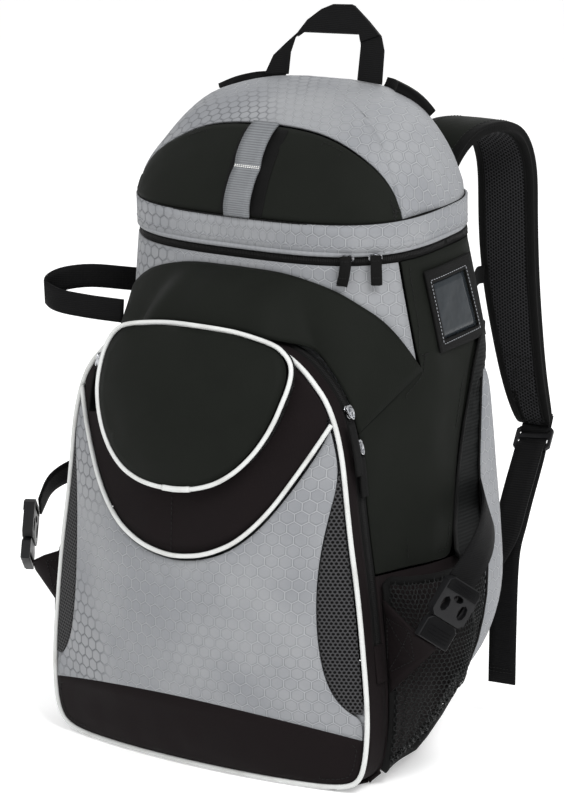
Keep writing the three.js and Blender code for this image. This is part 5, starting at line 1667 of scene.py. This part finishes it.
DAISY_LAP = 4  # how far the dark strip runs past the visor's webbing
DAISY_STRIP = (2.5, 42)  # the dark strip's middle and width
DAISY_LIFT = 0.1
DAISY_THICK = 0.5
TACK_REACH = 14  # how far from the webbing's middle height its tack may be
TACK_ROWS = (-0.6, 0.6)
TACK_HALF = 12.4


def trim_daisy(made, white):
    """A white tack where the webbing lies nearest to the visor, and a darker strip on the visor behind the
    webbing, wider than it.
    """
    daisy, visor = tree_of(made["daisy_webbing"]), tree_of(made["lid_visor"])
    low, high = (corner.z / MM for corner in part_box("daisy_webbing"))
    middle = (low + high) / 2
    gaps = []
    for z in np.arange(middle - TACK_REACH, middle + TACK_REACH):
        front, under = (seen(tree, [(0, 0, z)], TO_BACK) for tree in (daisy, visor))
        if front and under:
            gaps.append(((front[0][0] - under[0][0]).length, z))
    tack = min(gaps)[1]
    for row in TACK_ROWS:
        ends = [(x, 0, tack + row) for x in (-TACK_HALF, TACK_HALF)]
        sew_line(white, "tack", daisy, ends, TO_BACK, pitch=1.0)
    at, width = DAISY_STRIP
    tape = seen(visor, polyline([(at, 0, low - DAISY_LAP), (at, 0, high + DAISY_LAP)]), TO_BACK)
    dark_strip = Stuff()
    dark_strip.band(lie(tape, DAISY_LIFT), width, DAISY_THICK)
    dark_strip.piece("daisy_dark_strip", "binding", "black_cloth")


WINDOW_INSET = 4.5  # how far outside the window its frame's stitches run


def trim_window(made, grey):
    co = corners_of("name_window") / MM
    middle = co.mean(0)
    quad = []
    for sy, sz in ((-1, -1), (1, -1), (1, 1), (-1, 1)):
        far = co[np.argmax(sy * co[:, 1] + sz * co[:, 2])] - middle
        quad.append(tuple(middle + far * (1 + WINDOW_INSET / np.linalg.norm(far[1:]))))
    toward = Vector((-np.sign(middle[0]), 0, 0))
    sew_line(grey, "window", tree_of(made["name_window_frame"]), quad + quad[:1], toward)


def dress_trims(made):
    black, grey, white = Stuff(), Stuff(), Stuff()
    trim_lid(made, black, grey)
    trim_body(made, black)
    trim_daisy(made, white)
    trim_window(made, grey)
    black.piece("black_stitches", "black_thread", "webbing")
    grey.piece("grey_stitches", "grey_thread", "grey_webbing")
    white.piece("white_stitches", "white_thread", "piping")


# Floor, sky and lights: name, turn, rise, distance, size, watts.
FLOOR_HALF = 30
SKY_STRENGTH = 0.7
LIGHTS = [("key", 62, 48, 2.6, 1.0, 46), ("fill", -20, 35, 2.8, 1.6, 14), ("back", 190, 45, 2.8, 1.6, 16)]


def make_stage():
    bm = bmesh.new()
    bmesh.ops.create_grid(bm, x_segments=1, y_segments=1, size=FLOOR_HALF)
    mesh = mesh_of(bm)
    mesh.materials.append(pale_floor())
    floor = bpy.data.objects.new("floor", mesh)
    scene.collection.objects.link(floor)
    scene.world = bpy.data.worlds.new("studio")
    scene.world.use_nodes = True
    sky = scene.world.node_tree.nodes["Background"].inputs
    sky["Color"].default_value = (1, 1, 1, 1)
    sky["Strength"].default_value = SKY_STRENGTH
    for light in LIGHTS:
        make_light(*light)


make_camera()
make_stage()
dressed = dress_panels()
front_line = dress_piping()
dress_panel_edge(dressed, front_line)
dress_feet(front_line)
dress_zips(dressed)
dress_sliders()
dress_pulls()
dress_buckles()
dress_handle()
dress_tabs()
dress_back()
for strap_side, strap_sign in SIDES.items():
    dress_strap(strap_side, strap_sign)
    dress_net(strap_side, strap_sign)
    dress_net_edges(strap_side, strap_sign)
    dress_lining(dressed, strap_side, strap_sign)
    dress_lock(strap_side, strap_sign)
dress_trims(dressed)
